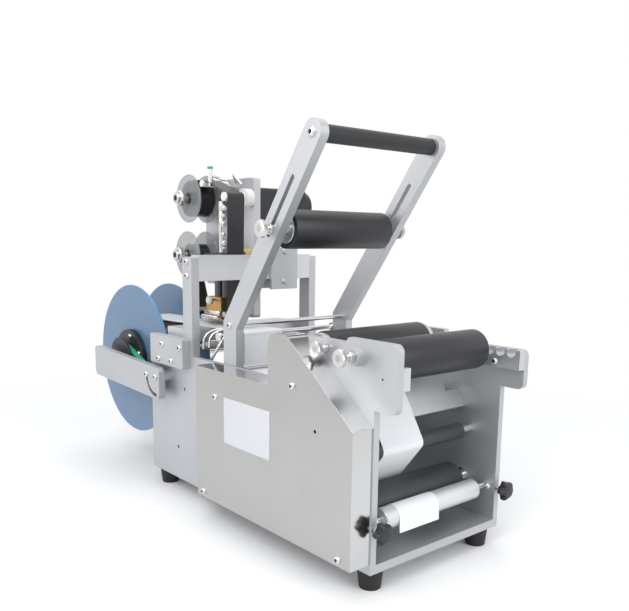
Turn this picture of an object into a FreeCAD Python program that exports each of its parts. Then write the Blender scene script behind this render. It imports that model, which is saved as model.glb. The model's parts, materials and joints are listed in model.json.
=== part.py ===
"""Tabletop bottle labelling machine with a ribbon date coder, as an assembly of separate pieces.

Frame: X across the machine, +Y towards the label reel at the rear, +Z up, millimetres.
The origin is on the floor under the middle of the machine's outer box.
Y places are measured from the front edge of the side plates and moved by front_y.
"""
import FreeCAD, Part
import math
import os

import Sketcher

SIZES = {
    # side plates and base
    "plate_gap": 204.0,
    "plate_thick": 8.0,
    "plate_length": 478.0,
    "front_y": -340.0,
    "foot_height": 24.0,
    "foot_inset": 18.0,
    "foot_radius": 15.0,
    "base_thick": 10.0,
    "deck_height": 210.0,
    "ear_reach": 31.0,
    "ear_depth": 44.0,
    "ear_radius": 8.0,
    "left_ear_rise": 27.0,
    "right_ear_rise": 3.0,
    "ear_back": 41.0,
    "shoulder_rise": 21.5,
    "shoulder_back": 144.0,
    "hump_rise": 15.0,
    "hump_front": 85.0,
    "tab_length": 76.0,
    "tab_inset": 19.0,
    "tab_rise": 22.0,
    # rollers that turn the bottle
    "roller_radius": 23.5,
    "roller_length": 160.0,
    "roller_height": 247.0,
    "rear_roller_y": 115.0,
    "shaft_radius": 6.0,
    "running_gap": 0.05,
    "bearing_radius": 10.5,
    "bearing_width": 7.0,
    "comb_thick": 10.0,
    "comb_depth": 20.0,
    "comb_first": -19.0,
    "comb_pitch": 15.0,
    # web path at the front
    "drive_y": 52.5,
    "drive_z": 77.0,
    "drive_radius": 22.5,
    "pinch_radius": 12.4,
    "pinch_z": 74.0,
    "pinch_gap": 0.3,
    "pinch_travel": 6.0,
    "axle_radius": 4.0,
    "guide_y": 42.0,
    "guide_z": 142.5,
    "guide_radius": 9.8,
    "bar_y": 53.0,
    "bar_drop": 78.4,
    "bar_lean": 26.0,
    "bar_depth": 12.0,
    "bar_height": 23.0,
    "peel_width": 152.0,
    "peel_length": 59.0,
    "peel_lift": 13.0,
    "peel_thick": 1.5,
    # stainless cover over the belt side, control housing on the other side
    "cover_depth": 28.3,
    "cover_sheet": 1.5,
    "cover_back": 301.0,
    "cover_bottom": 35.5,
    "bevel_drop": 85.8,
    "bevel_back": 110.0,
    "cover_rise": 23.5,
    "housing_front": 90.0,
    "housing_length": 270.0,
    "housing_bottom": 40.0,
    "housing_drop": 10.0,
    "button_radius": 8.0,
    "button_reach": 2.5,
    "panel_height": 88.0,
    "controller_x": -60.0,
    "controller_y": 300.0,
    "controller_width": 130.0,
    "controller_depth": 120.0,
    "controller_height": 60.0,
    # belt drive
    "motor_y": 125.0,
    "motor_z": 105.0,
    "motor_side": 57.0,
    "motor_length": 76.0,
    "motor_pulley": 12.0,
    "wheel_pulley": 20.0,
    "roller_pulley": 14.0,
    "belt_width": 7.0,
    "belt_thick": 1.5,
    # press frame
    "press_pivot_y": 277.0,
    "press_pivot_depth": 25.0,
    "knee_rise": 77.0,
    "arm_length": 278.0,
    "arm_lean": 35.7,
    "arm_width": 29.0,
    "arm_thick": 12.0,
    "arm_side_gap": 0.5,
    "handle_radius": 10.0,
    "tie_radius": 3.0,
    "press_place": 151.5,
    "press_down": 8.0,
    "press_up": 70.0,
    "stud_radius": 3.0,
    "thumb_radius": 10.5,
    "lock_boss_length": 12.0,
    # gantry over the web
    "post_lead": 26.0,
    "post_depth": 24.0,
    "post_width": 12.0,
    "post_drop": 2.3,
    "beam_rise": 69.5,
    "beam_height": 35.3,
    "beam_depth": 20.0,
    "platen_inset": 3.0,
    "platen_depth": 54.0,
    "platen_height": 18.5,
    "web_rise": 34.5,
    "web_roller_inset": 13.0,
    "web_roller_rise": 12.0,
    "web_roller_radius": 6.0,
    # reel
    "bracket_inset": 9.0,
    "bracket_length": 93.0,
    "bracket_drop": 18.0,
    "bracket_height": 42.0,
    "bracket_thick": 11.0,
    "reel_pivot_inset": 60.0,
    "reel_pivot_depth": 36.0,
    "reel_arm_thick": 10.0,
    "reel_arm_front": 10.0,
    "reel_arm_length": 218.0,
    "clamp_radius": 27.0,
    "reel_distance": 164.0,
    "reel_radius": 121.0,
    "disc_thick": 3.0,
    "near_disc_x": -84.0,
    "reel_width": 67.0,
    "core_radius": 37.0,
    "roll_radius": 70.0,
    "hub_radius": 48.5,
    "hub_thick": 9.0,
    "drum_radius": 24.0,
    "drum_width": 11.0,
    "peg_distance": 89.0,
    "peg_drop": 6.0,
    "peg_radius": 4.0,
    # ribbon coder
    "coder_x": 10.0,
    "coder_thick": 12.0,
    "coder_inset": 23.0,
    "coder_length": 132.0,
    "coder_leg": 45.0,
    "coder_height": 160.0,
    "coder_lift": 10.5,
    "clamp_width": 48.0,
    "clamp_thick": 5.0,
    "slide_gap": 0.2,
    "supply_inset": 105.0,
    "supply_drop": 29.0,
    "takeup_inset": 110.0,
    "takeup_rise": 46.0,
    "spool_radius": 36.0,
    "spool_hub": 9.0,
    "spool_disc": 2.0,
    "ribbon_width": 30.0,
    "ribbon_left": -36.0,
    "collar_radius": 11.5,
    "head_inset": 16.0,
    "head_depth": 40.0,
    "head_width": 34.0,
    "head_lift": 7.5,
    "holder_rise": 26.0,
    "holder_height": 38.0,
    "column_length": 58.0,
    "gearbox_length": 90.0,
    "gearbox_depth": 54.0,
    "gearbox_height": 52.0,
    "gearbox_drop": 65.0,
    "gearbox_motor": 24.0,
    "gearbox_motor_reach": 16.0,
    "head_height": 34.0,
    "head_stroke": 5.0,
    "column_radius": 7.0,
    # screws
    "screw_radius": 2.5,
    "head_radius": 4.6,
    "head_rise": 2.8,
}

document = FreeCAD.newDocument("labelling_machine")
sheet = document.addObject("Spreadsheet::Sheet", "Sizes")
for row, (name, number) in enumerate(SIZES.items(), start=1):
    sheet.set(f"A{row}", name)
    sheet.set(f"B{row}", str(number))
    sheet.setAlias(f"B{row}", name)
document.recompute()


class Dim:
    """A length or angle: its value now, and the spreadsheet expression that gives it."""

    def __init__(self, value, text):
        self.value = value
        self.text = text

    def __add__(self, other):
        return Dim(self.value + number(other), f"({self.text} + {formula(other)})")

    def __radd__(self, other):
        return Dim(number(other) + self.value, f"({formula(other)} + {self.text})")

    def __sub__(self, other):
        return Dim(self.value - number(other), f"({self.text} - {formula(other)})")

    def __rsub__(self, other):
        return Dim(number(other) - self.value, f"({formula(other)} - {self.text})")

    def __mul__(self, other):
        return Dim(self.value * number(other), f"({self.text} * {formula(other)})")

    __rmul__ = __mul__

    def __truediv__(self, other):
        return Dim(self.value / number(other), f"({self.text} / {formula(other)})")

    def __neg__(self):
        return Dim(-self.value, f"(0 - {self.text})")


class Sizes:
    """Reads the driving dimensions out of the spreadsheet as Dim values."""

    def __getattr__(self, name):
        return Dim(float(sheet.get(name)), f"Sizes.{name}")


size = Sizes()


def number(term):
    return term.value if isinstance(term, Dim) else float(term)


def formula(term):
    return term.text if isinstance(term, Dim) else f"({float(term)})"


def sine(angle):
    return Dim(math.sin(math.radians(number(angle))), f"sin({formula(angle)})")


def cosine(angle):
    return Dim(math.cos(math.radians(number(angle))), f"cos({formula(angle)})")


def root(term):
    return Dim(math.sqrt(number(term)), f"sqrt({formula(term)})")


def bind(item, name, term):
    item.setExpression(name, formula(term))


ALONG_X = FreeCAD.Rotation()
ALONG_Y = FreeCAD.Rotation(FreeCAD.Vector(0, 0, 1), 90)
ALONG_Z = FreeCAD.Rotation(FreeCAD.Vector(0, 1, 0), -90)
FLIPPED_X = FreeCAD.Rotation(FreeCAD.Vector(0, 0, 1), 180)
FLIPPED_Y = FreeCAD.Rotation(FreeCAD.Vector(0, 0, 1), -90)
CYLINDER_X = FreeCAD.Rotation(FreeCAD.Vector(0, 1, 0), 90)
CYLINDER_Y = FreeCAD.Rotation(FreeCAD.Vector(1, 0, 0), -90)


def place(item, x, y, z, rotation=ALONG_X):
    """Puts an object at a point that follows the sheet; y is measured from the plates' front edge."""
    item.Placement = FreeCAD.Placement(FreeCAD.Vector(), rotation)
    bind(item, "Placement.Base.x", x)
    bind(item, "Placement.Base.y", size.front_y + y)
    bind(item, "Placement.Base.z", z)
    return item


# ---- sketches and features ------------------------------------------------------------------

def origin_plane(body, role):
    return next(item for item in body.Origin.OriginFeatures if item.Role == role)


def new_sketch(body, role):
    sketch = body.newObject("Sketcher::SketchObject", body.Label + "_sketch")
    sketch.AttachmentSupport = [(origin_plane(body, role), "")]
    sketch.MapMode = "FlatFace"
    return sketch


def constrain(sketch, constraint, term):
    index = sketch.addConstraint(constraint)
    if isinstance(term, Dim):
        sketch.setExpression(f"Constraints[{index}]", term.text)


def pin_point(sketch, geometry, vertex, point):
    across, up = point
    constrain(sketch, Sketcher.Constraint("DistanceX", -1, 1, geometry, vertex, number(across)), across)
    constrain(sketch, Sketcher.Constraint("DistanceY", -1, 1, geometry, vertex, number(up)), up)


def vector(point):
    return FreeCAD.Vector(number(point[0]), number(point[1]), 0)


def add_polygon(sketch, points):
    first = sketch.GeometryCount
    for start, end in zip(points, points[1:] + points[:1]):
        sketch.addGeometry(Part.LineSegment(vector(start), vector(end)), False)
    count = len(points)
    for index in range(count):
        following = first + (index + 1) % count
        sketch.addConstraint(Sketcher.Constraint("Coincident", first + index, 2, following, 1))
    for index, point in enumerate(points):
        pin_point(sketch, first + index, 1, point)


def add_circle(sketch, centre, radius):
    circle = Part.Circle(vector(centre), FreeCAD.Vector(0, 0, 1), number(radius))
    index = sketch.addGeometry(circle, False)
    pin_point(sketch, index, 3, centre)
    constrain(sketch, Sketcher.Constraint("Radius", index, number(radius)), radius)


def add_slot(sketch, start, end, radius):
    """Two parallel lines joined by half circles about the start and end points."""
    along = vector(end) - vector(start)
    angle = math.atan2(along.y, along.x)
    side = FreeCAD.Vector(-math.sin(angle), math.cos(angle), 0) * number(radius)
    near, far = vector(start), vector(end)
    up = FreeCAD.Vector(0, 0, 1)
    cap_near = Part.ArcOfCircle(Part.Circle(near, up, number(radius)), angle + math.pi / 2, angle - math.pi / 2)
    cap_far = Part.ArcOfCircle(Part.Circle(far, up, number(radius)), angle - math.pi / 2, angle + math.pi / 2)
    first = sketch.addGeometry(cap_near, False)
    lower = sketch.addGeometry(Part.LineSegment(near - side, far - side), False)
    second = sketch.addGeometry(cap_far, False)
    upper = sketch.addGeometry(Part.LineSegment(far + side, near + side), False)
    sketch.addConstraint(Sketcher.Constraint("Tangent", first, 2, lower, 1))
    sketch.addConstraint(Sketcher.Constraint("Tangent", lower, 2, second, 1))
    sketch.addConstraint(Sketcher.Constraint("Tangent", second, 2, upper, 1))
    sketch.addConstraint(Sketcher.Constraint("Tangent", upper, 2, first, 1))
    pin_point(sketch, first, 3, start)
    pin_point(sketch, second, 3, end)
    constrain(sketch, Sketcher.Constraint("Radius", first, number(radius)), radius)


def new_body(label):
    body = document.addObject("PartDesign::Body", label)
    body.Label = label
    return body


def pad(body, sketch, length, reverse=False):
    feature = body.newObject("PartDesign::Pad", body.Label + "_pad")
    feature.Profile = sketch
    feature.Reversed = reverse
    bind(feature, "Length", length)
    sketch.Visibility = False
    document.recompute()
    return feature


def pocket(body, sketch, length):
    """Cuts the sketch out of the body, on whichever side of the sketch the body lies."""
    before = body.Shape.Volume
    feature = body.newObject("PartDesign::Pocket", body.Label + "_pocket")
    feature.Profile = sketch
    bind(feature, "Length", length)
    document.recompute()
    if abs(before - body.Shape.Volume) < 0.01:
        feature.Reversed = True
        document.recompute()
    return feature


def round_edges(body, corners, radius, axis):
    """Rounds the straight edges along one axis that pass through the given corners."""
    others = [index for index in range(3) if index != axis]
    names = []
    for index, edge in enumerate(body.Tip.Shape.Edges, start=1):
        ends = [vertex.Point for vertex in edge.Vertexes]
        if len(ends) != 2 or max(abs(ends[0][i] - ends[1][i]) for i in others) > 0.01:
            continue
        for corner in corners:
            if all(abs(ends[0][i] - number(term)) < 0.05 for i, term in zip(others, corner)):
                names.append(f"Edge{index}")
    base = body.Tip
    feature = body.newObject("PartDesign::Fillet", body.Label + "_round")
    feature.Base = (base, names)
    bind(feature, "Radius", radius)
    document.recompute()
    return feature


def flat_piece(label, outline, thick, holes=(), slots=(), reverse=False):
    """A plate cut from sheet or bar: an outline in Y and Z with round holes and slots, thick along X."""
    body = new_body(label)
    sketch = new_sketch(body, "YZ_Plane")
    add_polygon(sketch, outline)
    for centre, radius in holes:
        add_circle(sketch, centre, radius)
    for start, end, radius in slots:
        add_slot(sketch, start, end, radius)
    pad(body, sketch, thick, reverse)
    return body


def turned_piece(label, profile):
    """A lathe-made piece: a closed profile of (distance along, radius) turned about its own X axis."""
    body = new_body(label)
    sketch = new_sketch(body, "XY_Plane")
    add_polygon(sketch, profile)
    feature = body.newObject("PartDesign::Revolution", label + "_turn")
    feature.Profile = sketch
    feature.ReferenceAxis = (sketch, ["H_Axis"])
    feature.Angle = 360
    sketch.Visibility = False
    return body


def stepped(steps, bore=0.0):
    """A turned profile from (start, end, radius) steps in order along the axis, over a straight bore."""
    points = [(steps[0][0], bore)]
    for start, end, radius in steps:
        points.append((start, radius))
        points.append((end, radius))
    points.append((steps[-1][1], bore))
    return points


def block(label, x, y, z, across, deep, high, rotation=ALONG_X):
    item = document.addObject("Part::Box", label)
    item.Label = label
    bind(item, "Length", across)
    bind(item, "Width", deep)
    bind(item, "Height", high)
    return place(item, x, y, z, rotation)


def rod(label, x, y, z, radius, length, rotation=CYLINDER_X):
    item = document.addObject("Part::Cylinder", label)
    item.Label = label
    bind(item, "Radius", radius)
    bind(item, "Height", length)
    return place(item, x, y, z, rotation)


def cone(label, x, y, z, low_radius, high_radius, length, rotation):
    item = document.addObject("Part::Cone", label)
    item.Label = label
    bind(item, "Radius1", low_radius)
    bind(item, "Radius2", high_radius)
    bind(item, "Height", length)
    return place(item, x, y, z, rotation)


def fused(label, items):
    item = document.addObject("Part::MultiFuse", label)
    item.Label = label
    item.Shapes = items
    return item


def cut(label, base, tools):
    item = document.addObject("Part::Cut", label)
    item.Label = label
    item.Base = base
    item.Tool = tools[0] if len(tools) == 1 else fused(label + "_tools", tools)
    return item


def grouped(label, items):
    """Alike pieces that share a name but stay separate solids."""
    item = document.addObject("Part::Compound", label)
    item.Label = label
    item.Links = items
    return item


# ---- places that several pieces share -------------------------------------------------------

half_gap = size.plate_gap / 2
outer_x = half_gap + size.plate_thick
base_top = size.foot_height + size.base_thick
front_roller_y = size.comb_first + size.comb_pitch * 3
half_roller = size.roller_length / 2
bore_radius = size.shaft_radius + size.running_gap
axle_bore = size.axle_radius + size.running_gap
roller_reach = size.drive_radius + size.pinch_radius + size.pinch_gap
pinch_drop = size.drive_z - size.pinch_z
pinch_y = size.drive_y - root(roller_reach * roller_reach - pinch_drop * pinch_drop)
slot_front = pinch_y - size.pinch_travel
cover_x = outer_x + size.cover_depth

left_ear_top = size.roller_height + size.left_ear_rise
right_ear_top = size.roller_height + size.right_ear_rise
shoulder_height = size.roller_height + size.shoulder_rise
bearing_hump = size.roller_height + size.hump_rise
ear_bottom = size.roller_height - size.ear_depth
tab_back = size.plate_length - size.tab_inset
tab_front = tab_back - size.tab_length
tab_height = size.deck_height + size.tab_rise
comb_bottom = size.roller_height - size.comb_depth
bar_z = size.roller_height - size.bar_drop
cover_top = size.roller_height + size.cover_rise
bevel_low = cover_top - size.bevel_drop
housing_back = size.housing_front + size.housing_length
housing_top = size.deck_height - size.housing_drop
press_pivot_z = size.deck_height - size.press_pivot_depth
knee_z = press_pivot_z + size.knee_rise
web_height = size.deck_height + size.web_rise
post_y = tab_front - size.post_lead
beam_bottom = web_height + size.beam_rise
beam_top = beam_bottom + size.beam_height
post_top = beam_top - size.post_drop
platen_y = tab_front + size.platen_inset
web_roller_y = post_y + size.web_roller_inset
web_roller_z = size.deck_height + size.web_roller_rise
bracket_y = post_y + size.bracket_inset
bracket_bottom = size.deck_height - size.bracket_drop
reel_pivot_y = bracket_y + size.reel_pivot_inset
reel_pivot_z = size.deck_height - size.reel_pivot_depth
reel_y = reel_pivot_y + size.reel_distance
reel_z = reel_pivot_z
peg_y = reel_pivot_y + size.peg_distance
peg_z = reel_pivot_z - size.peg_drop
coder_front = post_y + size.coder_inset
coder_foot = web_height + size.coder_lift
coder_bottom = coder_foot + size.coder_leg
coder_top = coder_bottom + size.coder_height
supply_y = coder_front + size.supply_inset
supply_z = coder_top - size.supply_drop
takeup_y = coder_front + size.takeup_inset
takeup_z = coder_bottom + size.takeup_rise
head_y = coder_front + size.head_inset
head_bottom = web_height + size.head_lift

cover_screw_places = [
    (20.5, size.cover_bottom + 7.5),
    (size.cover_back - 15.0, size.cover_bottom + 7.5),
    (size.cover_back - 45.5, size.deck_height - 34.0),
    (size.bevel_back - 10.5, cover_top - 54.5),
]
housing_screw_places = [
    (size.housing_front + 14.0, size.housing_bottom + 14.0),
    (housing_back - 14.0, size.housing_bottom + 14.0),
    (housing_back - 14.0, housing_top - 14.0),
    (size.housing_front + 20.0, housing_top - 36.0),
]
comb_screw_places = [
    (size.comb_first + 22.5, comb_bottom + 6.5),
    (size.comb_first + 69.0, comb_bottom + 6.5),
]
bracket_screw_places = [
    (bracket_y + 8.0, bracket_bottom + 29.7),
    (bracket_y + 57.5, bracket_bottom + 29.7),
    (bracket_y + 32.0, bracket_bottom + 8.0),
    (bracket_y + 68.5, bracket_bottom + 7.5),
]
clamp_screw = (reel_pivot_y + size.clamp_radius, reel_pivot_z)
pivot_screw = (reel_pivot_y, reel_pivot_z)
thumb_places = [
    (front_roller_y - 3.0, size.roller_height + 10.0),
    (size.rear_roller_y - 39.0, size.roller_height + 11.0),
]


# ---- frame ----------------------------------------------------------------------------------

def make_base_plate():
    body = new_body("base_plate")
    sketch = new_sketch(body, "XY_Plane")
    corners = [
        (-outer_x, 0.0),
        (outer_x, 0.0),
        (outer_x, size.plate_length),
        (-outer_x, size.plate_length),
    ]
    add_polygon(sketch, corners)
    for side in (-1, 1):
        for along in (size.foot_inset, size.plate_length - size.foot_inset):
            add_circle(sketch, ((outer_x - size.foot_inset) * side, along), size.screw_radius)
    pad(body, sketch, size.base_thick)
    place(body, 0, 0, size.foot_height)
    return body


def side_outline(ear_top, crown, crown_front):
    """The side plate's outline from its front foot, round the ear, the shoulder and the reel tab."""
    return [
        (0.0, base_top),
        (0.0, ear_bottom),
        (-size.ear_reach, ear_bottom),
        (-size.ear_reach, ear_top),
        (crown_front, ear_top),
        (crown_front + 5.0, crown),
        (size.shoulder_back, crown),
        (size.shoulder_back, size.deck_height),
        (tab_front, size.deck_height),
        (tab_front, tab_height),
        (tab_back, tab_height),
        (tab_back, size.deck_height),
        (size.plate_length, size.deck_height),
        (size.plate_length, base_top),
    ]


def make_side_plate(label, side, ear_top, crown, crown_front, extra_holes, boss_sets):
    screw = size.screw_radius
    holes = [
        ((size.rear_roller_y, size.roller_height), size.bearing_radius),
        ((size.drive_y, size.drive_z), size.bearing_radius),
        ((size.guide_y, size.guide_z), axle_bore),
        ((size.press_pivot_y, press_pivot_z), size.shaft_radius),
        (clamp_screw, screw),
        (pivot_screw, screw),
    ]
    holes += extra_holes
    slots = [((slot_front, size.pinch_z), (pinch_y, size.pinch_z), axle_bore)]
    outline = side_outline(ear_top, crown, crown_front)
    body = flat_piece(label, outline, size.plate_thick, holes, slots, reverse=side < 0)
    for places, radius, rise in boss_sets:
        sketch = new_sketch(body, "YZ_Plane")
        for spot, bore in places:
            add_circle(sketch, spot, radius)
            add_circle(sketch, spot, bore)
        pad(body, sketch, size.plate_thick + rise, reverse=side < 0)
    stud = new_sketch(body, "XZ_Plane")
    add_circle(stud, (size.plate_thick / 2 * side, size.pinch_z), size.stud_radius)
    pocket(body, stud, slot_front)
    ear = [
        (-size.ear_reach, ear_bottom),
        (-size.ear_reach, ear_top),
        (size.shoulder_back, crown),
    ]
    round_edges(body, ear, size.ear_radius, 0)
    place(body, half_gap * side, 0, 0)
    return body


def make_side_plates():
    screw = size.screw_radius
    thumb_bore = size.stud_radius + size.running_gap
    arm_bosses = ([(pivot_screw, screw), (clamp_screw, screw)], 8.0, size.bracket_thick + 0.2)
    cover_posts = ([(spot, screw) for spot in cover_screw_places], 6.0, size.cover_depth - size.cover_sheet)
    lock_boss = ([(thumb_places[0], thumb_bore)], 10.0, size.lock_boss_length)
    housing_posts = ([(spot, screw) for spot in housing_screw_places], 6.0, size.cover_depth - size.cover_sheet)
    left_holes = [
        ((size.motor_y, size.motor_z), 14.0),
        (thumb_places[0], thumb_bore),
        (thumb_places[1], thumb_bore),
        ((-10.0, size.roller_height - 10.0), screw / 2),
        ((tab_front - 2.0, size.deck_height - 49.5), screw),
        ((tab_front + 18.0, base_top + 37.5), screw),
    ]
    left_holes += [(spot, screw) for spot in cover_screw_places]
    make_side_plate("left_side_plate", -1, left_ear_top, shoulder_height, size.ear_back,
                    left_holes, [arm_bosses, cover_posts, lock_boss])
    right_holes = [(spot, screw) for spot in housing_screw_places]
    make_side_plate("right_side_plate", 1, right_ear_top, bearing_hump, size.hump_front,
                    right_holes, [arm_bosses, housing_posts])


def make_feet():
    """Tapered rubber feet, recessed underneath, under the base plate's corners."""
    feet = []
    for side in (-1, 1):
        for along in (size.foot_inset, size.plate_length - size.foot_inset):
            foot = turned_piece(f"foot_{len(feet)}", [
                (0.0, 0.0),
                (0.0, size.foot_radius * 0.8),
                (size.foot_height, size.foot_radius),
                (size.foot_height, 0.0),
            ])
            place(foot, (outer_x - size.foot_inset) * side, along, 0.0, ALONG_Z)
            feet.append(foot)
    grouped("rubber_feet", feet)


def make_combs():
    """Toothed rests inside the ears; the front roller's shaft ends lie in one pair of notches."""
    top = right_ear_top
    depth = top - size.roller_height
    combs = []
    for side in (-1, 1):
        back = size.comb_first + size.comb_pitch * 5 + 12.0
        outline = [
            (-size.ear_reach, comb_bottom),
            (-size.ear_reach, top),
            (back, top),
            (back, comb_bottom),
        ]
        holes = [(spot, size.screw_radius) for spot in comb_screw_places]
        body = flat_piece(f"comb_{len(combs)}", outline, size.comb_thick, holes, reverse=side > 0)
        for tooth in range(6):
            notch = new_sketch(body, "YZ_Plane")
            centre = size.comb_first + size.comb_pitch * tooth
            add_slot(notch, (centre, size.roller_height), (centre, top + depth + 6.0), bore_radius + 0.05)
            pocket(body, notch, size.comb_thick)
        combs.append(place(body, half_gap * side, 0, 0))
    grouped("front_combs", combs)


def make_cross_bar():
    bar = block("front_cross_bar", -half_gap, size.bar_y, bar_z,
                size.plate_gap, size.bar_depth, size.bar_height)
    bar.Placement.Rotation = FreeCAD.Rotation(FreeCAD.Vector(-1, 0, 0), 26)
    bind(bar, "Placement.Rotation.Angle", size.bar_lean)
    return bar


def on_bar(lift, out):
    """A point on the leaning bar's front face, lifted along it and moved out from it."""
    lean_y = size.bar_y + sine(size.bar_lean) * lift - cosine(size.bar_lean) * out
    lean_z = bar_z + cosine(size.bar_lean) * lift + sine(size.bar_lean) * out
    return lean_y, lean_z


def make_peel_plate():
    y, z = on_bar(size.peel_lift, size.peel_thick)
    sheet_metal = block("peel_sheet", -size.peel_width / 2, y, z,
                        size.peel_width, size.peel_thick, size.peel_length)
    sheet_metal.Placement.Rotation = FreeCAD.Rotation(FreeCAD.Vector(-1, 0, 0), 26)
    bind(sheet_metal, "Placement.Rotation.Angle", size.bar_lean)
    edge_y, edge_z = on_bar(size.peel_lift + size.peel_length, size.peel_thick / 2)
    nose = rod("peel_nose", -size.peel_width / 2, edge_y, edge_z, size.peel_thick / 2, size.peel_width)
    return fused("peel_plate", [sheet_metal, nose])



# ---- covers and controls --------------------------------------------------------------------

def shell_inwards(body, x):
    """Hollows the body to sheet metal, leaving its face at local x open."""
    base = body.Tip
    face = next(index for index, face in enumerate(base.Shape.Faces, start=1)
                if abs(face.CenterOfMass.x - x) < 0.01)
    feature = body.newObject("PartDesign::Thickness", body.Label + "_sheet")
    feature.Base = (base, [f"Face{face}"])
    feature.Reversed = True
    bind(feature, "Value", size.cover_sheet)
    document.recompute()


def make_side_cover():
    """Folded stainless cover over the belts: one wide face with a flange all round to the plate."""
    outline = [
        (1.6, size.cover_bottom),
        (1.6, bevel_low),
        (size.bevel_back, cover_top),
        (size.shoulder_back, cover_top),
        (size.shoulder_back, size.deck_height),
        (size.cover_back, size.deck_height),
        (size.cover_back, size.cover_bottom),
    ]
    body = flat_piece("side_cover", outline, size.cover_depth, reverse=True)
    round_edges(body, [outline[2], outline[3]], 14.0, 0)
    shell_inwards(body, 0.0)
    holes = new_sketch(body, "YZ_Plane")
    for spot in cover_screw_places:
        add_circle(holes, spot, size.screw_radius)
    add_circle(holes, (60.0, 173.0), 2.0)
    pocket(body, holes, size.cover_depth + 1.0)
    place(body, -outer_x, 0, 0)


def make_control_housing():
    front = size.housing_front
    outline = [
        (front, size.housing_bottom),
        (front, housing_top - 30.0),
        (front + 30.0, housing_top),
        (housing_back, housing_top),
        (housing_back, size.housing_bottom),
    ]
    body = flat_piece("control_housing", outline, size.cover_depth)
    round_edges(body, outline, 4.0, 0)
    shell_inwards(body, 0.0)
    holes = new_sketch(body, "YZ_Plane")
    for spot in housing_screw_places:
        add_circle(holes, spot, size.screw_radius)
    for spot in button_places:
        add_circle(holes, spot, size.button_radius + 0.2)
    pocket(body, holes, size.cover_depth + 1.0)
    place(body, outer_x, 0, 0)


def make_buttons():
    """Push buttons held behind the housing sheet by a wider skirt."""
    inner = cover_x - size.cover_sheet - 2.0
    for label, (y, z) in zip(("start_button", "stop_button"), button_places):
        body = turned_piece(label, [
            (inner - 6.0, 0.0),
            (inner - 6.0, size.button_radius + 1.5),
            (inner, size.button_radius + 1.5),
            (inner, size.button_radius),
            (cover_x + size.button_reach - 0.8, size.button_radius),
            (cover_x + size.button_reach, size.button_radius - 0.8),
            (cover_x + size.button_reach, 0.0),
        ])
        place(body, 0, y, z)


def make_rear_panel():
    """Panel between the plates behind the controller, with the mains inlet and its switch."""
    width = 28.0
    height = 50.0
    panel_y = size.plate_length - 12.0
    left = inlet_x - width / 2
    low = inlet_z - height / 2
    panel = block("panel_sheet", -half_gap, panel_y, base_top, size.plate_gap, 3.0, size.panel_height)
    window = block("panel_window", left, panel_y - 1.0, low, width, 5.0, height)
    cut("rear_panel", panel, [window])
    module = block("inlet_body", left, panel_y - 30.0, low, width, 33.0, height)
    flange = block("inlet_flange", left - 3.0, panel_y + 3.0, low - 4.0, width + 6.0, 2.5, height + 8.0)
    socket = block("inlet_socket", left + 3.0, panel_y - 12.0, low + 4.0, width - 6.0, 18.0, 17.0)
    well = block("rocker_well", left + 6.5, panel_y - 12.0, inlet_z + 2.0, width - 13.0, 18.0, 21.0)
    shell = cut("inlet_shell", fused("inlet_solid", [module, flange]), [socket, well])
    pins = []
    for step, rise in ((-7.0, 0.0), (0.0, 4.0), (7.0, 0.0)):
        pins.append(block(f"inlet_pin_{len(pins)}", inlet_x + step - 1.0, panel_y - 13.0, low + 8.0 + rise,
                          2.0, 12.0, 5.0))
    face = panel_y + 5.5
    pin_radius = 1.2
    pins.append(rod("rocker_pin", inlet_x - 7.5, face - 4.0, rocker_z, pin_radius, 15.0))
    fused("power_inlet", [shell] + pins)
    rocker = flat_piece("power_rocker", [
        (face - 11.0, rocker_z - 4.0),
        (face - 3.0, rocker_z - 9.0),
        (face + 3.2, rocker_z - 9.2),
        (face - 0.4, rocker_z),
        (face + 1.0, rocker_z + 9.2),
        (face - 3.0, rocker_z + 9.0),
        (face - 11.0, rocker_z + 4.0),
    ], 14.4, [((face - 4.0, rocker_z), pin_radius + size.running_gap)])
    place(rocker, inlet_x - 7.2, 0, 0)


# ---- rollers and their drive ----------------------------------------------------------------

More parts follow.
